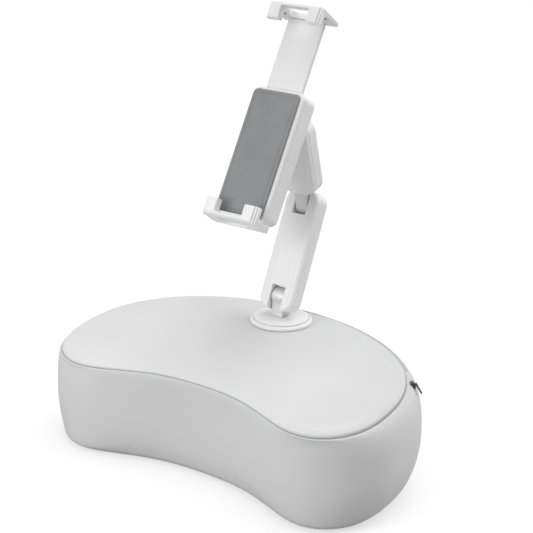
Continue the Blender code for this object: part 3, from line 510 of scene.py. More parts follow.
TAPE_WIDTH = 0.0040
TAPE_THICKNESS = 0.0006
TAPE_SUNK = 0.0002           # its back lies this deep in the wall
TAPE_DEPTH = 0.0047          # middle of the tape, below the seam
ZIP_RIGHT = Vector((0.1624, 0.0545))
COIL_PITCH = 0.0015          # a real coil has 1.1 mm, drawn coarser so that it shows
COIL_WIRE = 0.00045
COIL_SPAN = 0.0028


WALL_START = kinds.index("wall") + 2    # the lowest row that the tape's place is measured on


def below_seam(distance):
    """Points of the sewn wall at a distance below the seam, one for each column."""
    found = np.zeros((COLUMNS, 3))
    chain = np.array(final_rows[WALL_START:seam_row + 1])[::-1]
    for c in range(COLUMNS):
        step = np.linalg.norm(np.diff(chain[:, c], axis=0), axis=1)
        climb = np.concatenate(([0], np.cumsum(step)))
        for axis in range(3):
            found[c, axis] = np.interp(distance, climb, chain[:, c, axis])
    return found


tape_high = below_seam(TAPE_DEPTH - TAPE_WIDTH / 2)
tape_low = below_seam(TAPE_DEPTH + TAPE_WIDTH / 2)
first = int(np.argmin(np.hypot(outline[:, 0] - ZIP_RIGHT.x, outline[:, 1] - ZIP_RIGHT.y)))
columns = range(first, COLUMNS - first + 1)
tape_rings = []
middle = []
for c in columns:
    high, low = Vector(tape_high[c]), Vector(tape_low[c])
    away = Vector((facing[c, 0], facing[c, 1], 0))
    up = (high - low).normalized()
    away = (away - up * away.dot(up)).normalized()
    tape_rings.append([low - away * TAPE_SUNK, high - away * TAPE_SUNK,
                       high + away * TAPE_THICKNESS, low + away * TAPE_THICKNESS])
    middle.append(((high + low) / 2 + away * TAPE_THICKNESS, away, up))


def joined_rings(name, rings, loop=False, sharp=32):
    """Rings of points joined in order: a closed ring of sections, or one with flat ends."""
    work = bmesh.new()
    made = [[work.verts.new(point) for point in ring] for ring in rings]
    pairs = list(zip(made, made[1:])) + ([(made[-1], made[0])] if loop else [])
    for row, following in pairs:
        for i in range(len(row)):
            j = (i + 1) % len(row)
            work.faces.new((row[i], row[j], following[j], following[i]))
    if not loop:
        work.faces.new(made[0])
        work.faces.new(made[-1])
    bmesh.ops.recalc_face_normals(work, faces=work.faces)
    mesh = bpy.data.meshes.new(name)
    work.to_mesh(mesh)
    work.free()
    mesh.shade_smooth()
    mesh.set_sharp_from_angle(angle=math.radians(sharp))
    return placed(name, mesh)


def fitted(piece, at, finish, slot, body, *stands_for):
    """Put a finished piece in its place on a body, in the stead of its plain nodes."""
    piece.data.transform(at)
    piece.data.materials.clear()
    piece.data.materials.append(finish)
    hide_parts(*stands_for)
    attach(piece, body)
    return piece


def baked(piece):
    """Replace a piece's mesh by what its modifiers make of it."""
    graph = bpy.context.evaluated_depsgraph_get()
    mesh = bpy.data.meshes.new_from_object(piece.evaluated_get(graph))
    piece.modifiers.clear()
    piece.data = mesh
    return piece


def new_steps(name, sockets):
    """A geometry node tree with named inputs, and its input node."""
    made = bpy.data.node_groups.new(name, "GeometryNodeTree")
    made.interface.new_socket("Geometry", in_out="INPUT", socket_type="NodeSocketGeometry")
    for label, kind in sockets:
        made.interface.new_socket(label, in_out="INPUT", socket_type=kind)
    made.interface.new_socket("Geometry", in_out="OUTPUT", socket_type="NodeSocketGeometry")
    return made, add_node(made, "NodeGroupInput")


def end_steps(tree, geometry, finish):
    """Make the instances real, give them their finish and end the tree."""
    solid = add_node(tree, "GeometryNodeRealizeInstances", {}, {"Geometry": geometry})
    solid = add_node(tree, "GeometryNodeSetMaterial", {"Material": finish}, {"Geometry": solid.outputs[0]})
    add_node(tree, "NodeGroupOutput", {}, {"Geometry": solid.outputs[0]})


def run_steps(piece, tree, values):
    """Run a node tree on a piece, its inputs set by their identifiers, and keep the mesh it makes."""
    step = piece.modifiers.new(tree.name, "NODES")
    step.node_group = tree
    found = {item.name: item.identifier for item in tree.interface.items_tree if item.in_out == "INPUT"}
    for label, value in values.items():
        step[found[label]] = value
    bpy.context.view_layer.update()
    baked(piece)


# Nylon coil, pale grey, moulded smooth, with a soft sheen.
nylon, tree = new_finish("pale_nylon_coil")
draw = noise_over(tree, 600.0, 2.0)
gloss = between(tree, draw.outputs["Fac"], 0.35, 0.5)
surfaced(tree, {"Base Color": paint("#C9C9CA"), "IOR": 1.53}, {"Roughness": gloss})

tape = joined_rings("zip_tape", tape_rings)
track = bpy.data.meshes.new("coil_track")
track.from_pydata([tuple(point) for point, away, up in middle],
                  [(i, i + 1) for i in range(len(middle) - 1)], [])
side = track.attributes.new("wall_side", "FLOAT_VECTOR", "POINT")
for entry, (point, away, up) in zip(side.data, middle):
    entry.vector = away
coil = placed("zip_coil", track)
coils, entry = new_steps("coil_turns", [(label, "NodeSocketFloat") for label in ("Pitch", "Wire", "Span")])
path = add_node(coils, "GeometryNodeMeshToCurve", {}, {"Mesh": entry.outputs["Geometry"]})
even = add_node(coils, "GeometryNodeResampleCurve", {"mode": "LENGTH"},
                {"Curve": path.outputs[0], "Length": entry.outputs["Pitch"]})
along_path = add_node(coils, "GeometryNodeInputTangent")
wall_side = add_node(coils, "GeometryNodeInputNamedAttribute",
                     {"data_type": "FLOAT_VECTOR", "Name": "wall_side"})
turn = add_node(coils, "FunctionNodeAlignRotationToVector", {"axis": "X"}, {"Vector": along_path.outputs[0]})
turn = add_node(coils, "FunctionNodeAlignRotationToVector", {"axis": "Y", "pivot_axis": "X"},
                {"Rotation": turn.outputs[0], "Vector": wall_side.outputs["Attribute"]})
bead = add_node(coils, "GeometryNodeMeshCylinder", {"Vertices": 8},
                {"Radius": entry.outputs["Wire"], "Depth": entry.outputs["Span"]})
spread = add_node(coils, "GeometryNodeInstanceOnPoints", {},
                  {"Points": even.outputs[0], "Instance": bead.outputs["Mesh"], "Rotation": turn.outputs[0]})
end_steps(coils, spread.outputs[0], nylon)
run_steps(coil, coils, {"Pitch": COIL_PITCH, "Wire": COIL_WIRE, "Span": COIL_SPAN})
fitted(tape, Matrix.Identity(4), knit, "cover_fabric", "cushion", "zip_chain")
fitted(coil, Matrix.Identity(4), nylon, "cover_fabric", "cushion", "zip_chain")


def filleted(corners, steps=6, closed=True):
    """A flat outline of corners (a, b, radius), each rounded by an arc."""
    points = []
    for i, (a, b, radius) in enumerate(corners):
        if radius == 0 or (not closed and i in (0, len(corners) - 1)):
            points.append((a, b))
            continue
        here = Vector((a, b))
        back = Vector(corners[i - 1][:2]) - here
        ahead = Vector(corners[(i + 1) % len(corners)][:2]) - here
        half_turn = back.angle(ahead) / 2
        reach = min(radius / math.tan(half_turn), back.length * 0.49, ahead.length * 0.49)
        radius = reach * math.tan(half_turn)
        start = here + back.normalized() * reach
        centre = here + (back.normalized() + ahead.normalized()).normalized() * radius / math.sin(half_turn)
        end = here + ahead.normalized() * reach
        from_angle = math.atan2(start.y - centre.y, start.x - centre.x)
        sweep = math.atan2(end.y - centre.y, end.x - centre.x) - from_angle
        sweep = (sweep + math.pi) % (2 * math.pi) - math.pi
        for step in range(steps + 1):
            angle = from_angle + sweep * step / steps
            points.append((centre.x + radius * math.cos(angle), centre.y + radius * math.sin(angle)))
    return points


def pressed(name, points, low, high, axis, edge=0.0, segments=3):
    """An outline made thick along X, Y or Z, with its rims rounded.

    The outline's pairs are (y, z) along X, (x, z) along Y and (x, y) along Z."""
    place_of = {"X": lambda a, b, level: (level, a, b), "Y": lambda a, b, level: (a, level, b),
                "Z": lambda a, b, level: (a, b, level)}[axis]
    made = joined_rings(name, [[place_of(a, b, level) for a, b in points] for level in (low, high)])
    if edge:
        work = bmesh.new()
        work.from_mesh(made.data)
        rims = [e for e in work.edges if any(len(face.verts) > 4 for face in e.link_faces)]
        bmesh.ops.bevel(work, geom=rims, offset=edge, offset_type="OFFSET", segments=segments, profile=0.5,
                        affect="EDGES", clamp_overlap=True)
        work.to_mesh(made.data)
        work.free()
        made.data.shade_smooth()
        made.data.set_sharp_from_angle(angle=math.radians(32))
    return made


def cut(piece, *cutters, operation="DIFFERENCE"):
    """Cut solids out of a piece and throw the cutters away."""
    for cutter in cutters:
        step = piece.modifiers.new("cut", "BOOLEAN")
        step.operation = operation
        step.solver = "EXACT"
        step.object = cutter
    bpy.context.view_layer.update()
    baked(piece)
    for cutter in cutters:
        bpy.data.objects.remove(cutter, do_unlink=True)
    piece.data.shade_smooth()
    piece.data.set_sharp_from_angle(angle=math.radians(32))
    return piece


# Zinc die casting with a dark electroplated finish, satin from tumbling.
gunmetal, tree = new_finish("gunmetal_plated_zinc")
grain = noise_over(tree, 1500.0, 2.0)
wear = add_node(tree, "ShaderNodeMapRange",
                {"From Min": 0.3, "From Max": 0.7, "To Min": 0.32, "To Max": 0.46},
                {"Value": grain.outputs["Fac"]})
surfaced(tree, {"Base Color": paint("#58585A"), "Metallic": 0.9}, {"Roughness": wear.outputs["Result"]})

GAP = 0.0003
SLIDER_WIDTH = 0.0065
SLIDER_DEPTH = 0.0030
SLIDER_HEIGHT = 0.0080
joints = {joint["name"]: joint for joint in frame["record"]["behaviour"]["joints"]}
swing = joints["zip_pull_swing"]
PULL_OFFSET = 0.0009
pull_pin = Vector(swing["pos_m"])
slider_x = -Vector(swing["axis"]).normalized()
SLIDER_UP = Vector((-0.46883, -0.23638, 0.85107))    # up the sewn wall where the slider is parked
slider_up = (SLIDER_UP - slider_x * SLIDER_UP.dot(slider_x)).normalized()
slider_in = slider_up.cross(slider_x)
pull_at = Matrix((slider_x, slider_in, slider_up)).transposed().to_4x4()
pull_at.translation = pull_pin
slider_at = pull_at @ Matrix.Translation((0, GAP + SLIDER_DEPTH + PULL_OFFSET, 0))
waist = SLIDER_WIDTH * 0.36
slider_shape = filleted([
    (-SLIDER_WIDTH / 2, SLIDER_HEIGHT / 2, 0.0012), (-waist, -SLIDER_HEIGHT / 2, 0.0012),
    (waist, -SLIDER_HEIGHT / 2, 0.0012), (SLIDER_WIDTH / 2, SLIDER_HEIGHT / 2, 0.0012)], 6)
slider = pressed("zip_slider_body", slider_shape, -GAP - SLIDER_DEPTH * 0.62, -GAP, "Y", 0.0004)
bridge_root, bridge_face = -GAP - SLIDER_DEPTH * 0.4, -GAP - SLIDER_DEPTH
bridge_side = filleted([
    (bridge_root, -0.0030, 0.0003), (bridge_face, -0.0018, 0.001),
    (bridge_face, 0.0022, 0.001), (bridge_root, 0.0032, 0.0003)], 5)
bridge = pressed("bridge", bridge_side, -0.0008, 0.0008, "X", 0.0003)
cut(slider, bridge, operation="UNION")
fitted(slider, slider_at, gunmetal, "dark_metal", "cushion", "zip_slider")
PULL_LENGTH = 0.0112
PULL_THICKNESS = 0.0012
pull_shape = filleted([
    (-0.0016, 0.0006, 0.0006), (-0.0018, -PULL_LENGTH * 0.45, 0.004), (-0.0012, -PULL_LENGTH, 0.0010),
    (0.0012, -PULL_LENGTH, 0.0010), (0.0018, -PULL_LENGTH * 0.45, 0.004), (0.0016, 0.0006, 0.0006)], 6)
pull = pressed("zip_pull_tab", pull_shape, -PULL_THICKNESS / 2, PULL_THICKNESS / 2, "Y", 0.0003)
eye_shape = filleted([
    (-0.0009, -0.0004, 0.0004), (-0.0009, -0.0030, 0.0008), (0.0009, -0.0030, 0.0008),
    (0.0009, -0.0004, 0.0004)], 5)
eye = pressed("eye", eye_shape, -0.002, 0.002, "Y")
cut(pull, eye)
fitted(pull, pull_at, gunmetal, "dark_metal", "zip_pull", "zip_pull")


# Foot: a moulded ring screwed through the cover to a board, and a domed disc that turns on it.
# Both are white ABS with the fine satin grain of a spark-eroded mould.

white_abs, tree = new_finish("satin_white_abs")
grain = noise_over(tree, 1 / 0.0006, 2.0)        # mould grain of 0.3 mm, drawn at 0.6 mm
cloud = noise_over(tree, 24.0, 1.0)
tint = two_tones(tree, cloud.outputs["Fac"], "#ECECEC", "#F0F0F0")
gloss = between(tree, grain.outputs["Fac"], 0.34, 0.46)
bump = add_node(tree, "ShaderNodeBump", {"Strength": 0.12, "Distance": 0.00003},
                {"Height": grain.outputs["Fac"]})
surfaced(tree, {"IOR": 1.53}, {"Base Color": tint.outputs["Color"], "Roughness": gloss,
                               "Normal": bump.outputs["Normal"]})


def turned(name, profile, sides=128):
    """A profile of (radius, height) points turned about Z; one that starts on the axis has flat ends."""
    bored = profile[0][0] > 0
    rings = [[(r * math.cos(2 * math.pi * k / sides), r * math.sin(2 * math.pi * k / sides), z)
              for k in range(sides)] for r, z in (profile if bored else profile[1:-1])]
    return joined_rings(name, rings, loop=bored)


RING_RADIUS = 0.0305
RING_HEIGHT = 0.0042
BOLT_BORE = 0.0031
BOLT_RECESS = 0.0073
RECESS_TOP = 0.0029
foot_at = Matrix.Translation((0, FOOT_Y, DECK))
ring = turned("foot_ring", filleted([
    (RING_RADIUS, GAP + RING_HEIGHT * 0.72, 0.0022), (RING_RADIUS, GAP, 0.0012),
    (BOLT_RECESS, GAP, 0.0002), (BOLT_RECESS, RECESS_TOP, 0),
    (BOLT_BORE, RECESS_TOP, 0), (BOLT_BORE, GAP + RING_HEIGHT, 0.0002),
    (0.0259, GAP + RING_HEIGHT, 0.0004), (0.0263, GAP + RING_HEIGHT - 0.0005, 0.0003),
    (0.0275, GAP + RING_HEIGHT - 0.0005, 0.0006), (0.0282, GAP + RING_HEIGHT, 0.0010)], 8), 160)
fitted(ring, foot_at, white_abs, "white_plastic", "cushion", "base_ring")

TABLE_RADIUS = 0.0268
TABLE_HEIGHT = 0.0024
table_at = foot_at @ Matrix.Translation((0, 0, GAP + RING_HEIGHT + GAP))
TABLE_FLAT = 0.0125          # radius of the flat under the lug
TABLE_RIM = 0.0004
dome = []
for turn in np.linspace(0.06, 1, 26) * math.pi / 2:
    dome.append((TABLE_FLAT + (TABLE_RADIUS - TABLE_FLAT) * math.cos(turn) ** 0.6,
                 TABLE_RIM + (TABLE_HEIGHT - TABLE_RIM) * math.sin(turn) ** 0.8))
disc = turned("turntable_cap", [(TABLE_RADIUS - 0.0003, 0), (BOLT_BORE, 0), (BOLT_BORE, TABLE_HEIGHT)]
              + dome[::-1] + [(TABLE_RADIUS, 0.0003)], 160)
fitted(disc, table_at, white_abs, "white_plastic", "turntable", "turntable_disc")


# Hinge lugs and tongue: cast aluminium, machined on the bearing faces and satin anodised.
# A rounded head takes the friction pin, under it the neck is drawn in a little.

aluminium, tree = new_finish("satin_anodised_aluminium")
streak = noise_over(tree, 1.0, 2.0, (160.0, 3000.0, 3000.0))
satin = between(tree, streak.outputs["Fac"], 0.44, 0.56)
bump = add_node(tree, "ShaderNodeBump", {"Strength": 0.15, "Distance": 0.00003},
                {"Height": streak.outputs["Fac"]})
surfaced(tree, {"Base Color": paint("#DADADB"), "Metallic": 0.35},
         {"Roughness": satin, "Normal": bump.outputs["Normal"]})

LUG_HALF = 0.0068
LUG_RADIUS = 0.0082
LUG_RISE = 0.0186
NECK = 0.0073
PIN_HOLE = 0.0033
BOLT_DEPTH = 0.0078


def pin_hole():
    """A cutter for a lug's pin."""
    ring = [(PIN_HOLE * math.cos(math.pi * k / 24), PIN_HOLE * math.sin(math.pi * k / 24)) for k in range(48)]
    return pressed("pin_hole", ring, -0.02, 0.02, "X")


def lug_head(tip_angle):
    """The round head from one side of the neck over the top to the other."""
    count = 28
    turns = [tip_angle + (math.pi - 2 * tip_angle) * k / count for k in range(count + 1)]
    return [(LUG_RADIUS * math.cos(turn), LUG_RADIUS * math.sin(turn)) for turn in turns]


neck_angle = -math.acos(NECK / LUG_RADIUS)
neck_low = LUG_RADIUS * math.sin(neck_angle) - 0.0022
lug_side = [(LUG_RADIUS, -LUG_RISE), (LUG_RADIUS, neck_low - 0.0075), (NECK, neck_low - 0.0030),
            (NECK, neck_low)]
lug_side += lug_head(neck_angle) + [(-a, b) for a, b in lug_side[::-1]]

shoulder = Vector(joints["shoulder_tilt"]["pos_m"])
elbow = Vector(joints["elbow_fold"]["pos_m"])
wrist = Vector(joints["wrist_tilt"]["pos_m"])
slide_way = -Vector(joints["claw_slide"]["axis"]).normalized()


def link_frame(start, upward):
    """A frame at a pin: X across, Z up the link, Y to its back."""
    upward = upward.normalized()
    made = Matrix(((1, 0, 0), upward.cross(Vector((1, 0, 0))), upward)).transposed().to_4x4()
    made.translation = start
    return made


lower_at = link_frame(shoulder, elbow - shoulder)
upper_at = link_frame(elbow, wrist - elbow)
wrist_at = link_frame(wrist, slide_way)
lug_turn = Matrix.Rotation(-math.pi / 2, 4, "X")
for name, body, at, node in (("shoulder_lug", "turntable", Matrix.Translation(shoulder), "base_lug"),
                             ("wrist_lug", "wrist", wrist_at @ lug_turn, "holder_lug")):
    lug = pressed(name, lug_side, -LUG_HALF, LUG_HALF, "X", 0.0006)
    bolt_hole = turned("bolt_hole", [(0, -LUG_RISE + BOLT_DEPTH), (BOLT_BORE, -LUG_RISE + BOLT_DEPTH),
                                     (BOLT_BORE, -LUG_RISE - 0.001), (0, -LUG_RISE - 0.001)], 32)
    cut(lug, pin_hole(), bolt_hole)
    fitted(lug, at, aluminium, "satin_aluminium", body, node)

UPPER_START = 0.0180
UPPER_LENGTH = (wrist - elbow).length
SLOT_DEPTH = 0.0105          # of a link's fork, past its pin
SLOT_BRIDGE = 0.0035
TONGUE_HALF = 0.0060
tongue_end = UPPER_LENGTH - SLOT_DEPTH - SLOT_BRIDGE - GAP
tongue_side = [(TONGUE_HALF, tongue_end), (-TONGUE_HALF, tongue_end), (-TONGUE_HALF, UPPER_START)]
tongue_side += [(-a, -b) for a, b in lug_head(math.radians(-24))] + [(TONGUE_HALF, UPPER_START)]
tongue = pressed("elbow_tongue", tongue_side, -LUG_HALF, LUG_HALF, "X", 0.0006)
cut(tongue, pin_hole())
fitted(tongue, upper_at, aluminium, "satin_aluminium", "upper_arm", "upper_arm_tongue")


# Hinge pins and washers: turned steel, bright zinc plated. Two friction washers grip each lug.
# Every one is a profile turned about its axis, with its rims broken.

steel, tree = new_finish("zinc_plated_steel")
spot = noise_over(tree, 700.0, 3.0)
satin = between(tree, spot.outputs["Fac"], 0.22, 0.4)
surfaced(tree, {"Base Color": paint("#C6C8CB"), "Metallic": 1.0}, {"Roughness": satin})
for name in nodes:
    if any(word in name for word in ("bolt", "base_screw", "spine")):
        nodes[name].data.materials[0] = steel

PIN_RADIUS = 0.0030
PIN_HALF = 0.0165
WASHER_RADIUS = 0.0075
WASHER_HALF = 0.00045
WASHER_CLEARANCE = 0.00025
WASHER_PLACE = LUG_HALF + WASHER_CLEARANCE + WASHER_HALF
across = Matrix.Rotation(math.pi / 2, 4, "Y")
LOWER_LENGTH = (elbow - shoulder).length
pin_side = filleted([(0, PIN_HALF, 0), (PIN_RADIUS, PIN_HALF, 0.0004), (PIN_RADIUS, -PIN_HALF, 0.0004),
                     (0, -PIN_HALF, 0)], 3, False)
for name, at, body in (("shoulder", lower_at, "lower_arm"),
                       ("elbow", lower_at @ Matrix.Translation((0, 0, LOWER_LENGTH)), "lower_arm"),
                       ("wrist", upper_at @ Matrix.Translation((0, 0, UPPER_LENGTH)), "upper_arm")):
    pin = turned(name + "_hinge_pin", pin_side, 48)
    fitted(pin, at @ across, steel, "satin_steel", body, name + "_pin")
    for sign, word in ((1, "right"), (-1, "left")):
        washer = turned(f"{name}_friction_washer_{word}", filleted(
            [(WASHER_RADIUS, WASHER_HALF, 0.0002), (WASHER_RADIUS, -WASHER_HALF, 0.0002),
             (PIN_HOLE, -WASHER_HALF, 0.0001), (PIN_HOLE, WASHER_HALF, 0.0001)], 3), 64)
        washer_at = at @ Matrix.Translation((sign * WASHER_PLACE, 0, 0)) @ across
        fitted(washer, washer_at, steel, "satin_steel", body, f"{name}_washer_{word}")


# Arm links: each is a deep back shell and a shallow front cover, moulded in white ABS.
# The two meet at a fine parting line; the front has a pressed border, the ends are forked.

ARM_WIDTH = 0.0385
ARM_HALF = 0.0100
ARM_CORNER = 0.0115
ARM_EDGE = 0.0038
ARM_END = 0.0145
ARM_WALL = 0.0025
SPLIT = -0.0040
LIP = 0.0005
BORDER = 0.0054
BORDER_WIDTH = 0.0014
BORDER_DEPTH = 0.0003
CHEEK_INSIDE = 0.0082
MOUTH = 0.0007
MOUTH_BACK = -0.0020         # the mouth in front of a lug's head is this deep
THROAT = 0.0016              # past the pin, open right through
THROAT_HALF = 0.0075
HEAD_ROOM = 0.0088           # round the lug's head
WASHER_ROOM = 0.0079


def rounded_outline(width, bottom, top, corner, steps=12):
    """A rounded rectangle, width across and from bottom to top."""
    points = []
    half_width = width / 2 - corner
    for centre_x, centre_z, turn in (
            (half_width, bottom + corner, -90), (half_width, top - corner, 0),
            (-half_width, top - corner, 90), (-half_width, bottom + corner, 180)):
        for step in range(steps + 1):
            angle = math.radians(turn + 90 * step / steps)
            points.append((centre_x + corner * math.cos(angle), centre_z + corner * math.sin(angle)))
    return points


def moulding(name, size, levels, steps=12):
    """A rounded rectangle (width, bottom, top, corner) lofted through (y, inset) levels."""
    width, bottom, top, corner = size
    rings = []
    for y, inset in levels:
        ring = rounded_outline(width - 2 * inset, bottom + inset, top - inset, corner - inset, steps)
        rings.append([(x, y, z) for x, z in ring])
    return joined_rings(name, rings)


def soft_edge(face, radius, towards, steps=8):
    """Levels that round a rim into a face; towards is +1 where the face looks to +Y."""
    turns = [math.pi / 2 * step / steps for step in range(steps + 1)]
    return [(face - towards * radius * (1 - math.sin(t)), radius * (1 - math.cos(t))) for t in turns]


def flared_slot(name, half_width, low, high, back):
    """A cutter from a link's front face to a depth, with a rounded mouth at each face it opens."""
    turns = [math.pi / 2 * step / 5 for step in range(6)]
    depths = [(-0.002, MOUTH)] + [(MOUTH * (1 - math.cos(t)), MOUTH * (1 - math.sin(t))) for t in turns]
    levels = [(-ARM_HALF + d, -o) for d, o in depths]
    levels += [(back - d, -o) for d, o in depths[::-1]] if back == ARM_HALF else [(back, 0)]
    return moulding(name, (2 * half_width, low, high, 0.0010), levels, 5)


def block(name, low, high):
    """A plain box cutter between two corners."""
    corners = [(low[0], low[1]), (high[0], low[1]), (high[0], high[1]), (low[0], high[1])]
    return pressed(name, corners, low[2], high[2], "Z")


def rod_along(name, radius, low, high, axis, centre, sides=40):
    """A round cutter along one axis."""
    ring = [(centre[0] + radius * math.cos(2 * math.pi * k / sides),
             centre[1] + radius * math.sin(2 * math.pi * k / sides)) for k in range(sides)]
    return pressed(name, ring, low, high, axis)


groove = [(-ARM_HALF + BORDER_DEPTH * math.sin(math.pi * k / 8) ** 2, BORDER + BORDER_WIDTH * k / 8)
          for k in range(9)]
cover_levels = [(SPLIT - GAP / 2, LIP), (SPLIT - GAP / 2 - LIP, 0)]
cover_levels += soft_edge(-ARM_HALF, ARM_EDGE, -1) + groove
back_levels = [(SPLIT + GAP / 2, LIP), (SPLIT + GAP / 2 + LIP, 0)] + soft_edge(ARM_HALF, ARM_EDGE, 1)
links = (
    ("lower_arm", lower_at, -ARM_END, LOWER_LENGTH + ARM_END, ((0, 1), (LOWER_LENGTH, -1)),
     SLOT_DEPTH + SLOT_BRIDGE, LOWER_LENGTH - SLOT_DEPTH - SLOT_BRIDGE,
     (LOWER_LENGTH * 0.32, LOWER_LENGTH * 0.68), 0.0072),
    ("upper_arm", upper_at, UPPER_START, UPPER_LENGTH + ARM_END, ((UPPER_LENGTH, -1),),
     UPPER_START + 2 * SLOT_BRIDGE, UPPER_LENGTH - SLOT_DEPTH - SLOT_BRIDGE,
     (UPPER_START + 2 * SLOT_BRIDGE + 0.005, UPPER_LENGTH - SLOT_DEPTH - SLOT_BRIDGE - 0.005), 0.0060))
SCREW_HEAD_RADIUS = 0.0034
SCREW_HEAD = 0.0018
SCREW_RADIUS = 0.0016
SCREW_END = -0.0045
TIP_ROOM = 0.004             # a fork's slot runs this far past the link's end
for name, at, bottom, top, forks, hollow_low, hollow_high, screws, bar_back in links:
    for word, levels in (("front_cover", cover_levels), ("back_shell", back_levels)):
        shell = moulding(f"{name}_{word}_moulding", (ARM_WIDTH, bottom, top, ARM_CORNER), levels)
        inner = ARM_WIDTH / 2 - ARM_WALL
        cutters = [block("hollow", (-inner, -ARM_HALF + ARM_WALL, hollow_low),
                         (inner, ARM_HALF - ARM_WALL, hollow_high))]
        for pin_z, inward in forks:
            tip = pin_z - (ARM_END + TIP_ROOM) * inward
            for part, depth, back in (("mouth", SLOT_DEPTH - MOUTH, MOUTH_BACK),
                                      ("throat", THROAT, ARM_HALF)):
                low, high = sorted((pin_z + depth * inward, tip))
                cutters.append(flared_slot(part, THROAT_HALF, low, high, back))
            for part, radius, reach in (("head_room", HEAD_ROOM, THROAT_HALF),
                                        ("washer_room", WASHER_ROOM, CHEEK_INSIDE)):
                cutters.append(rod_along(part, radius, -reach, reach, "X", (0, pin_z), 64))
            if word == "back_shell":
                seat_reach = PIN_HALF + GAP
                cutters.append(rod_along("seat", PIN_HOLE, -seat_reach, seat_reach, "X", (0, pin_z)))
        if name == "upper_arm":
            cutters.append(block("passage", (-LUG_HALF - GAP, -TONGUE_HALF - GAP, bottom - 0.002),
                                 (LUG_HALF + GAP, TONGUE_HALF + GAP, hollow_low + 0.001)))
        if word == "back_shell":
            for height in screws:
                cutters.append(rod_along("sink", SCREW_HEAD_RADIUS + GAP, ARM_HALF - SCREW_HEAD - GAP,
                                         ARM_HALF + 0.002, "Y", (0, height)))
                cutters.append(rod_along("shank_hole", SCREW_RADIUS + GAP, bar_back - 0.004, ARM_HALF, "Y",
                                         (0, height)))
        cut(shell, *cutters)
        fitted(shell, at, white_abs, "white_plastic", name, f"{name}_{word}")


# Back screws of the links: steel screws with a hexagon socket, heads sunk in the shell.
# One pattern screw is set at each place by a node tree.

pattern = turned("screw_pattern", filleted([
    (0, 0, 0), (SCREW_HEAD_RADIUS, 0, 0.0004), (SCREW_HEAD_RADIUS, -SCREW_HEAD, 0.0002),
    (SCREW_RADIUS, -SCREW_HEAD, 0), (SCREW_RADIUS, SCREW_END, 0.0003), (0, SCREW_END, 0)],
    4, False), 48)
SOCKET = 0.0015
socket = pressed("socket", [(SOCKET * math.cos(math.pi * k / 3), SOCKET * math.sin(math.pi * k / 3))
                            for k in range(6)], -0.0012, 0.001, "Z")
cut(pattern, socket)
setter, entry = new_steps("set_screws", [("Screw", "NodeSocketObject"), ("Turn", "NodeSocketVector")])
model = add_node(setter, "GeometryNodeObjectInfo", {}, {"Object": entry.outputs["Screw"]})
facing_back = add_node(setter, "FunctionNodeEulerToRotation", {}, {"Euler": entry.outputs["Turn"]})
spread = add_node(setter, "GeometryNodeInstanceOnPoints", {},
                  {"Points": entry.outputs["Geometry"], "Instance": model.outputs["Geometry"],
                   "Rotation": facing_back.outputs[0]})
end_steps(setter, spread.outputs[0], steel)
for name, at, bottom, top, forks, hollow_low, hollow_high, heights, bar_back in links:
    places = bpy.data.meshes.new(name + "_screw_places")
    places.from_pydata([(0, ARM_HALF, height) for height in heights], [], [])
    group = placed(name + "_back_screws", places)
    run_steps(group, setter, {"Screw": pattern, "Turn": (-math.pi / 2, 0, 0)})
    fitted(group, at, steel, "satin_steel", name, name + "_screw_1", name + "_screw_2")
bpy.data.objects.remove(pattern, do_unlink=True)


# Holder: a moulded box behind the tablet, its front cover faced with a rubber pad.
# A round disc behind it lets it spin; the lower back edge is cut off at a slant.

HOLDER_WIDTH = 0.058
HOLDER_TOP = 0.028
HOLDER_BOTTOM = -0.0987
HOLDER_CORNER = 0.008
HOLDER_EDGE = 0.003
HOLDER_WALL = 0.0025
HOLDER_SLOPE = 0.006
PAD_THICKNESS = 0.002
PAD_MARGIN = 0.003
HOLDER_DEPTH = 0.024
COVER_DEPTH = 0.005          # of the front cover
body_front = PAD_THICKNESS + GAP
body_back = body_front + HOLDER_DEPTH
holder_split = body_front + COVER_DEPTH
DISC_RADIUS = 0.022
DISC_THICKNESS = 0.0045
disc_front = body_back + GAP
disc_back = disc_front + DISC_THICKNESS
holder_at = wrist_at @ Matrix.Translation((0, -(disc_back + GAP + LUG_RISE), 0))

rim = turned("spin_disc", [(r, -z) for r, z in filleted(
    [(DISC_RADIUS, disc_back, 0.0012), (DISC_RADIUS, disc_front, 0.0004), (BOLT_BORE, disc_front, 0.0001),
     (BOLT_BORE, disc_back, 0.0001)], 6)], 128)
disc_at = holder_at @ Matrix.Rotation(math.pi / 2, 4, "X")
fitted(rim, disc_at, white_abs, "white_plastic", "wrist", "holder_disc")

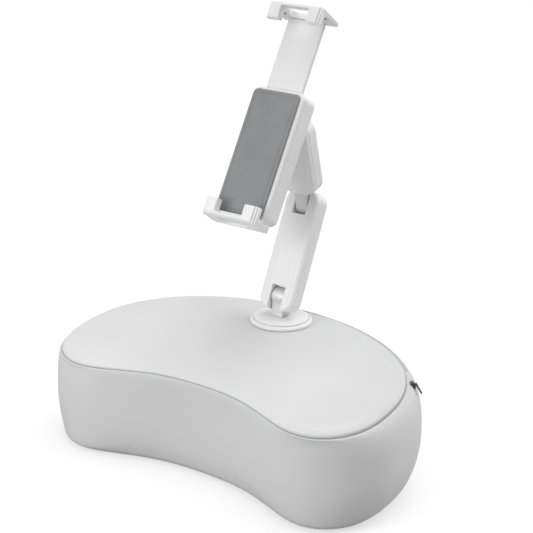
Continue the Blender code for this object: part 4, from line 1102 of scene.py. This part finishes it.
holder_size = (HOLDER_WIDTH, HOLDER_BOTTOM, HOLDER_TOP, HOLDER_CORNER)
inner_half = HOLDER_WIDTH / 2 - HOLDER_WALL
PLATE_SUNK = 0.0070          # behind the holder's front
PLATE_THICKNESS = 0.004
PLATE_HALF = 0.020
plate_front = body_front + PLATE_SUNK
plate_back = plate_front + PLATE_THICKNESS
slope_wall = HOLDER_SLOPE + HOLDER_WALL
for word, levels in (
        ("front_cover", [(holder_split - GAP / 2, LIP), (holder_split - GAP / 2 - LIP, 0)]
         + soft_edge(body_front, HOLDER_EDGE, -1)),
        ("back_shell", [(holder_split + GAP / 2, LIP), (holder_split + GAP / 2 + LIP, 0)]
         + soft_edge(body_back, HOLDER_EDGE, 1))):
    shell = moulding(f"holder_{word}_moulding", holder_size, levels)
    hollow = pressed("hollow", [
        (body_front + HOLDER_WALL, HOLDER_BOTTOM + HOLDER_WALL),
        (body_back - slope_wall, HOLDER_BOTTOM + HOLDER_WALL),
        (body_back - HOLDER_WALL, HOLDER_BOTTOM + slope_wall),
        (body_back - HOLDER_WALL, HOLDER_TOP - HOLDER_WALL),
        (body_front + HOLDER_WALL, HOLDER_TOP - HOLDER_WALL)], -inner_half, inner_half, "X")
    mouth = block("mouth", (-PLATE_HALF - GAP, plate_front - GAP, 0),
                  (PLATE_HALF + GAP, plate_back + GAP, HOLDER_TOP + HOLDER_WALL))
    cutters = [hollow, mouth]
    if word == "back_shell":
        cutters.append(pressed("slope", [
            (body_back - HOLDER_SLOPE, HOLDER_BOTTOM),
            (body_back - 2 * HOLDER_SLOPE, HOLDER_BOTTOM - HOLDER_SLOPE),
            (body_back + HOLDER_SLOPE, HOLDER_BOTTOM - HOLDER_SLOPE),
            (body_back + HOLDER_SLOPE, HOLDER_BOTTOM + 2 * HOLDER_SLOPE)], -0.05, 0.05, "X"))
        cutters.append(rod_along("spin_hole", BOLT_BORE, body_back - HOLDER_WALL - 0.001, body_back + 0.001,
                                 "Y", (0, 0)))
    cut(shell, *cutters)
    fitted(shell, holder_at, white_abs, "white_plastic", "holder", f"holder_{word}")

# Silicone rubber, moulded matt, darker than the shells; fine grain and a faint bloom.
silicone, tree = new_finish("grey_silicone")
grain = noise_over(tree, 1 / 0.0005, 2.0)
bloom = noise_over(tree, 40.0, 3.0)
tint = two_tones(tree, bloom.outputs["Fac"], "#85878A", "#8E9092", (0.3, 0.7))
bump = add_node(tree, "ShaderNodeBump", {"Strength": 0.3, "Distance": 0.00005},
                {"Height": grain.outputs["Fac"]})
surfaced(tree, {"Roughness": 0.62, "IOR": 1.41},
         {"Base Color": tint.outputs["Color"], "Normal": bump.outputs["Normal"]})

pad_levels = [(PAD_THICKNESS, 0.0002), (PAD_THICKNESS - 0.0002, 0)] + soft_edge(0, 0.0009, -1, 4)
pad_levels += [(0, 0.0028), (0.0003, 0.0031), (0.0003, 0.0040), (0, 0.0043)]
pad_size = (HOLDER_WIDTH - 2 * PAD_MARGIN, HOLDER_BOTTOM + PAD_MARGIN, HOLDER_TOP - PAD_MARGIN,
            HOLDER_CORNER - PAD_MARGIN)
pad = moulding("tablet_pad", pad_size, pad_levels)
fitted(pad, holder_at, silicone, "grey_rubber", "holder", "holder_pad")


# Claws: stiff ABS brackets that hold the tablet's edges, with two fingers each.
# The lower one is screwed to the holder, the upper one slides out on its plate against a spring.
# Two grip steps run down each outer corner, and a D-shaped window saves material.

CLAW_HALF = 0.030
FINGER_HALF_GAP = 0.0155
TABLET_SPACE = 0.0070
FINGER_FRONT = -TABLET_SPACE - 0.0085
FINGER_STEP = 0.0018
FINGER_TIP = 0.0875
LEDGE = 0.0972
CROSSBAR_TOP = 0.1005
CLAW_FRONT_END = 0.1035
CLAW_BACK_END = 0.1060
CLAW_BACK = 0.0125
UPPER_CLAW_BACK = 0.018
UPPER_BACK_END = 0.1010
UPPER_SHIFT = 0.0026
WINDOW_FRONT = (-0.0055, -0.0070)     # lower, upper
WINDOW_DEPTH = 0.0145
slide_at = holder_at @ Matrix.Translation((0, 0, UPPER_SHIFT))


def claw(name, side_view, sign):
    """One claw from its side view, notched between the fingers, stepped and windowed."""
    made = pressed(name, filleted(side_view, 5), -CLAW_HALF, CLAW_HALF, "X", 0.0009)
    ends = sorted(((FINGER_TIP - 0.003) * sign, CROSSBAR_TOP * sign))
    notch_shape = filleted([
        (-FINGER_HALF_GAP, ends[0], 0.0008), (FINGER_HALF_GAP, ends[0], 0.0008),
        (FINGER_HALF_GAP, ends[1], 0.0008), (-FINGER_HALF_GAP, ends[1], 0.0008)], 4)
    notch = pressed("notch", notch_shape, FINGER_FRONT - 0.002, -TABLET_SPACE + GAP, "Y")
    cutters = [notch]
    for side in (-1, 1):
        for number in (1, 2):
            edges = sorted((side * (CLAW_HALF - FINGER_STEP * number), side * (CLAW_HALF + 0.002)))
            cutters.append(block("step", (edges[0], FINGER_FRONT - 0.002, -0.12),
                                 (edges[1], FINGER_FRONT + FINGER_STEP * (3 - number), 0.12)))
    front = WINDOW_FRONT[sign > 0]
    arch = [(-FINGER_HALF_GAP, front), (FINGER_HALF_GAP, front)]
    for step in range(25):
        angle = math.pi * step / 24
        arch.append((FINGER_HALF_GAP * math.cos(angle),
                     front + WINDOW_DEPTH * (0.35 + 0.65 * math.sin(angle))))
    levels = sorted(((LEDGE - 0.002) * sign, (CLAW_BACK_END + 0.002) * sign))
    cutters.append(pressed("window", arch, levels[0], levels[1], "Z"))
    cut(made, *cutters)
    work = bmesh.new()
    work.from_mesh(made.data)
    bmesh.ops.dissolve_limit(work, angle_limit=math.radians(0.5), verts=work.verts, edges=work.edges)
    work.to_mesh(made.data)
    work.free()
    soften = made.modifiers.new("soften", "BEVEL")
    soften.width = 0.0005
    soften.segments = 2
    soften.limit_method = "ANGLE"
    soften.angle_limit = math.radians(42)
    bpy.context.view_layer.update()
    baked(made)
    made.data.shade_smooth()
    made.data.set_sharp_from_angle(angle=math.radians(30))
    return made


lower_claw = claw("lower_claw_moulding", [
    (FINGER_FRONT, -FINGER_TIP, 0.0016), (-TABLET_SPACE, -FINGER_TIP, 0.0008),
    (-TABLET_SPACE, -LEDGE, 0.0006), (-GAP, -LEDGE, 0.0004), (-GAP, HOLDER_BOTTOM - GAP, 0.0002),
    (CLAW_BACK, HOLDER_BOTTOM - GAP, 0.0010), (CLAW_BACK, -CLAW_BACK_END, 0.0014),
    (FINGER_FRONT, -CLAW_FRONT_END, 0.0030)], -1)
fitted(lower_claw, holder_at, white_abs, "white_plastic", "holder", "lower_claw")
upper_claw = claw("upper_claw_moulding", [
    (FINGER_FRONT, FINGER_TIP, 0.0016), (-TABLET_SPACE, FINGER_TIP, 0.0008), (-TABLET_SPACE, LEDGE, 0.0006),
    (UPPER_CLAW_BACK, LEDGE, 0.0006), (UPPER_CLAW_BACK, UPPER_BACK_END, 0.0012),
    (FINGER_FRONT, CLAW_FRONT_END, 0.0020)], 1)
fitted(upper_claw, slide_at, white_abs, "white_plastic", "upper_claw", "upper_claw")

PLATE_END = -0.028
plate = moulding("slide_plate_moulding", (2 * PLATE_HALF, PLATE_END - UPPER_SHIFT, LEDGE - GAP, 0.0012),
                 soft_edge(plate_front, 0.0004, -1, 3)[::-1] + soft_edge(plate_back, 0.0004, 1, 3), 6)
fitted(plate, slide_at, white_abs, "white_plastic", "upper_claw", "slide_plate")

PAD_INSET = 0.0015
CLAW_PAD = 0.001
for side, word in ((1, "right"), (-1, "left")):
    middle_x = side * (CLAW_HALF + FINGER_HALF_GAP) / 2
    reach = (CLAW_HALF - FINGER_HALF_GAP) / 2 - PAD_INSET
    pad_front = -TABLET_SPACE + PAD_INSET
    shape = filleted([
        (middle_x - reach, pad_front, 0.0006), (middle_x + reach, pad_front, 0.0006),
        (middle_x + reach, -PAD_INSET, 0.0006), (middle_x - reach, -PAD_INSET, 0.0006)], 4)
    low = pressed(f"lower_ledge_pad_{word}", shape, -LEDGE + GAP, -LEDGE + GAP + CLAW_PAD, "Z", 0.0002, 2)
    fitted(low, holder_at, silicone, "grey_rubber", "holder", f"lower_claw_pad_{word}")
    high = pressed(f"upper_ledge_pad_{word}", shape, LEDGE - GAP - CLAW_PAD, LEDGE - GAP, "Z", 0.0002, 2)
    fitted(high, slide_at, silicone, "grey_rubber", "upper_claw", f"upper_claw_pad_{word}")


# Return spring: a coil of hard steel wire inside the holder, between its lower end and the plate.
# On the stand it shortens as the upper claw comes in; here it is wound at one length. One node tree winds it
# from its sizes.

SPRING_RADIUS = 0.0026
SPRING_WIRE = 0.0005
SPRING_TURNS = 7.0
SPRING_ANCHOR = -0.088
SPRING_LENGTH = PLATE_END - GAP - SPRING_WIRE - SPRING_ANCHOR
winder, entry = new_steps("wind_spring", [
    (label, "NodeSocketFloat") for label in ("Coil radius", "Wire radius", "Turns", "Length")])
helix = add_node(winder, "GeometryNodeCurveSpiral", {"Resolution": 24},
                 {"Rotations": entry.outputs["Turns"], "Start Radius": entry.outputs["Coil radius"],
                  "End Radius": entry.outputs["Coil radius"], "Height": entry.outputs["Length"]})
section = add_node(winder, "GeometryNodeCurvePrimitiveCircle", {"Resolution": 8},
                   {"Radius": entry.outputs["Wire radius"]})
wire = add_node(winder, "GeometryNodeCurveToMesh", {"Fill Caps": True},
                {"Curve": helix.outputs[0], "Profile Curve": section.outputs[0]})
end_steps(winder, wire.outputs[0], steel)
spring = placed("return_spring_coil", bpy.data.meshes.new("return_spring_coil"))
run_steps(spring, winder, {"Coil radius": SPRING_RADIUS, "Wire radius": SPRING_WIRE, "Turns": SPRING_TURNS,
                           "Length": SPRING_LENGTH})
spring_at = holder_at @ Matrix.Translation((0, (plate_front + plate_back) / 2, SPRING_ANCHOR))
fitted(spring, spring_at, steel, "satin_steel", "holder", "return_spring")
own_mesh(spring)


# Mounting board under the cover: birch plywood, out of sight.
# It keeps its plain solid, with the grain of the veneer along X.

plywood, tree = new_finish("birch_plywood")
figure = noise_over(tree, 1.0, 4.0, (30.0, 400.0, 400.0))
tint = two_tones(tree, figure.outputs["Fac"], "#C9AE86", "#DEC9A4")
surfaced(tree, {"Roughness": 0.6}, {"Base Color": tint.outputs["Color"]})
nodes["mounting_board"].data.materials[0] = plywood
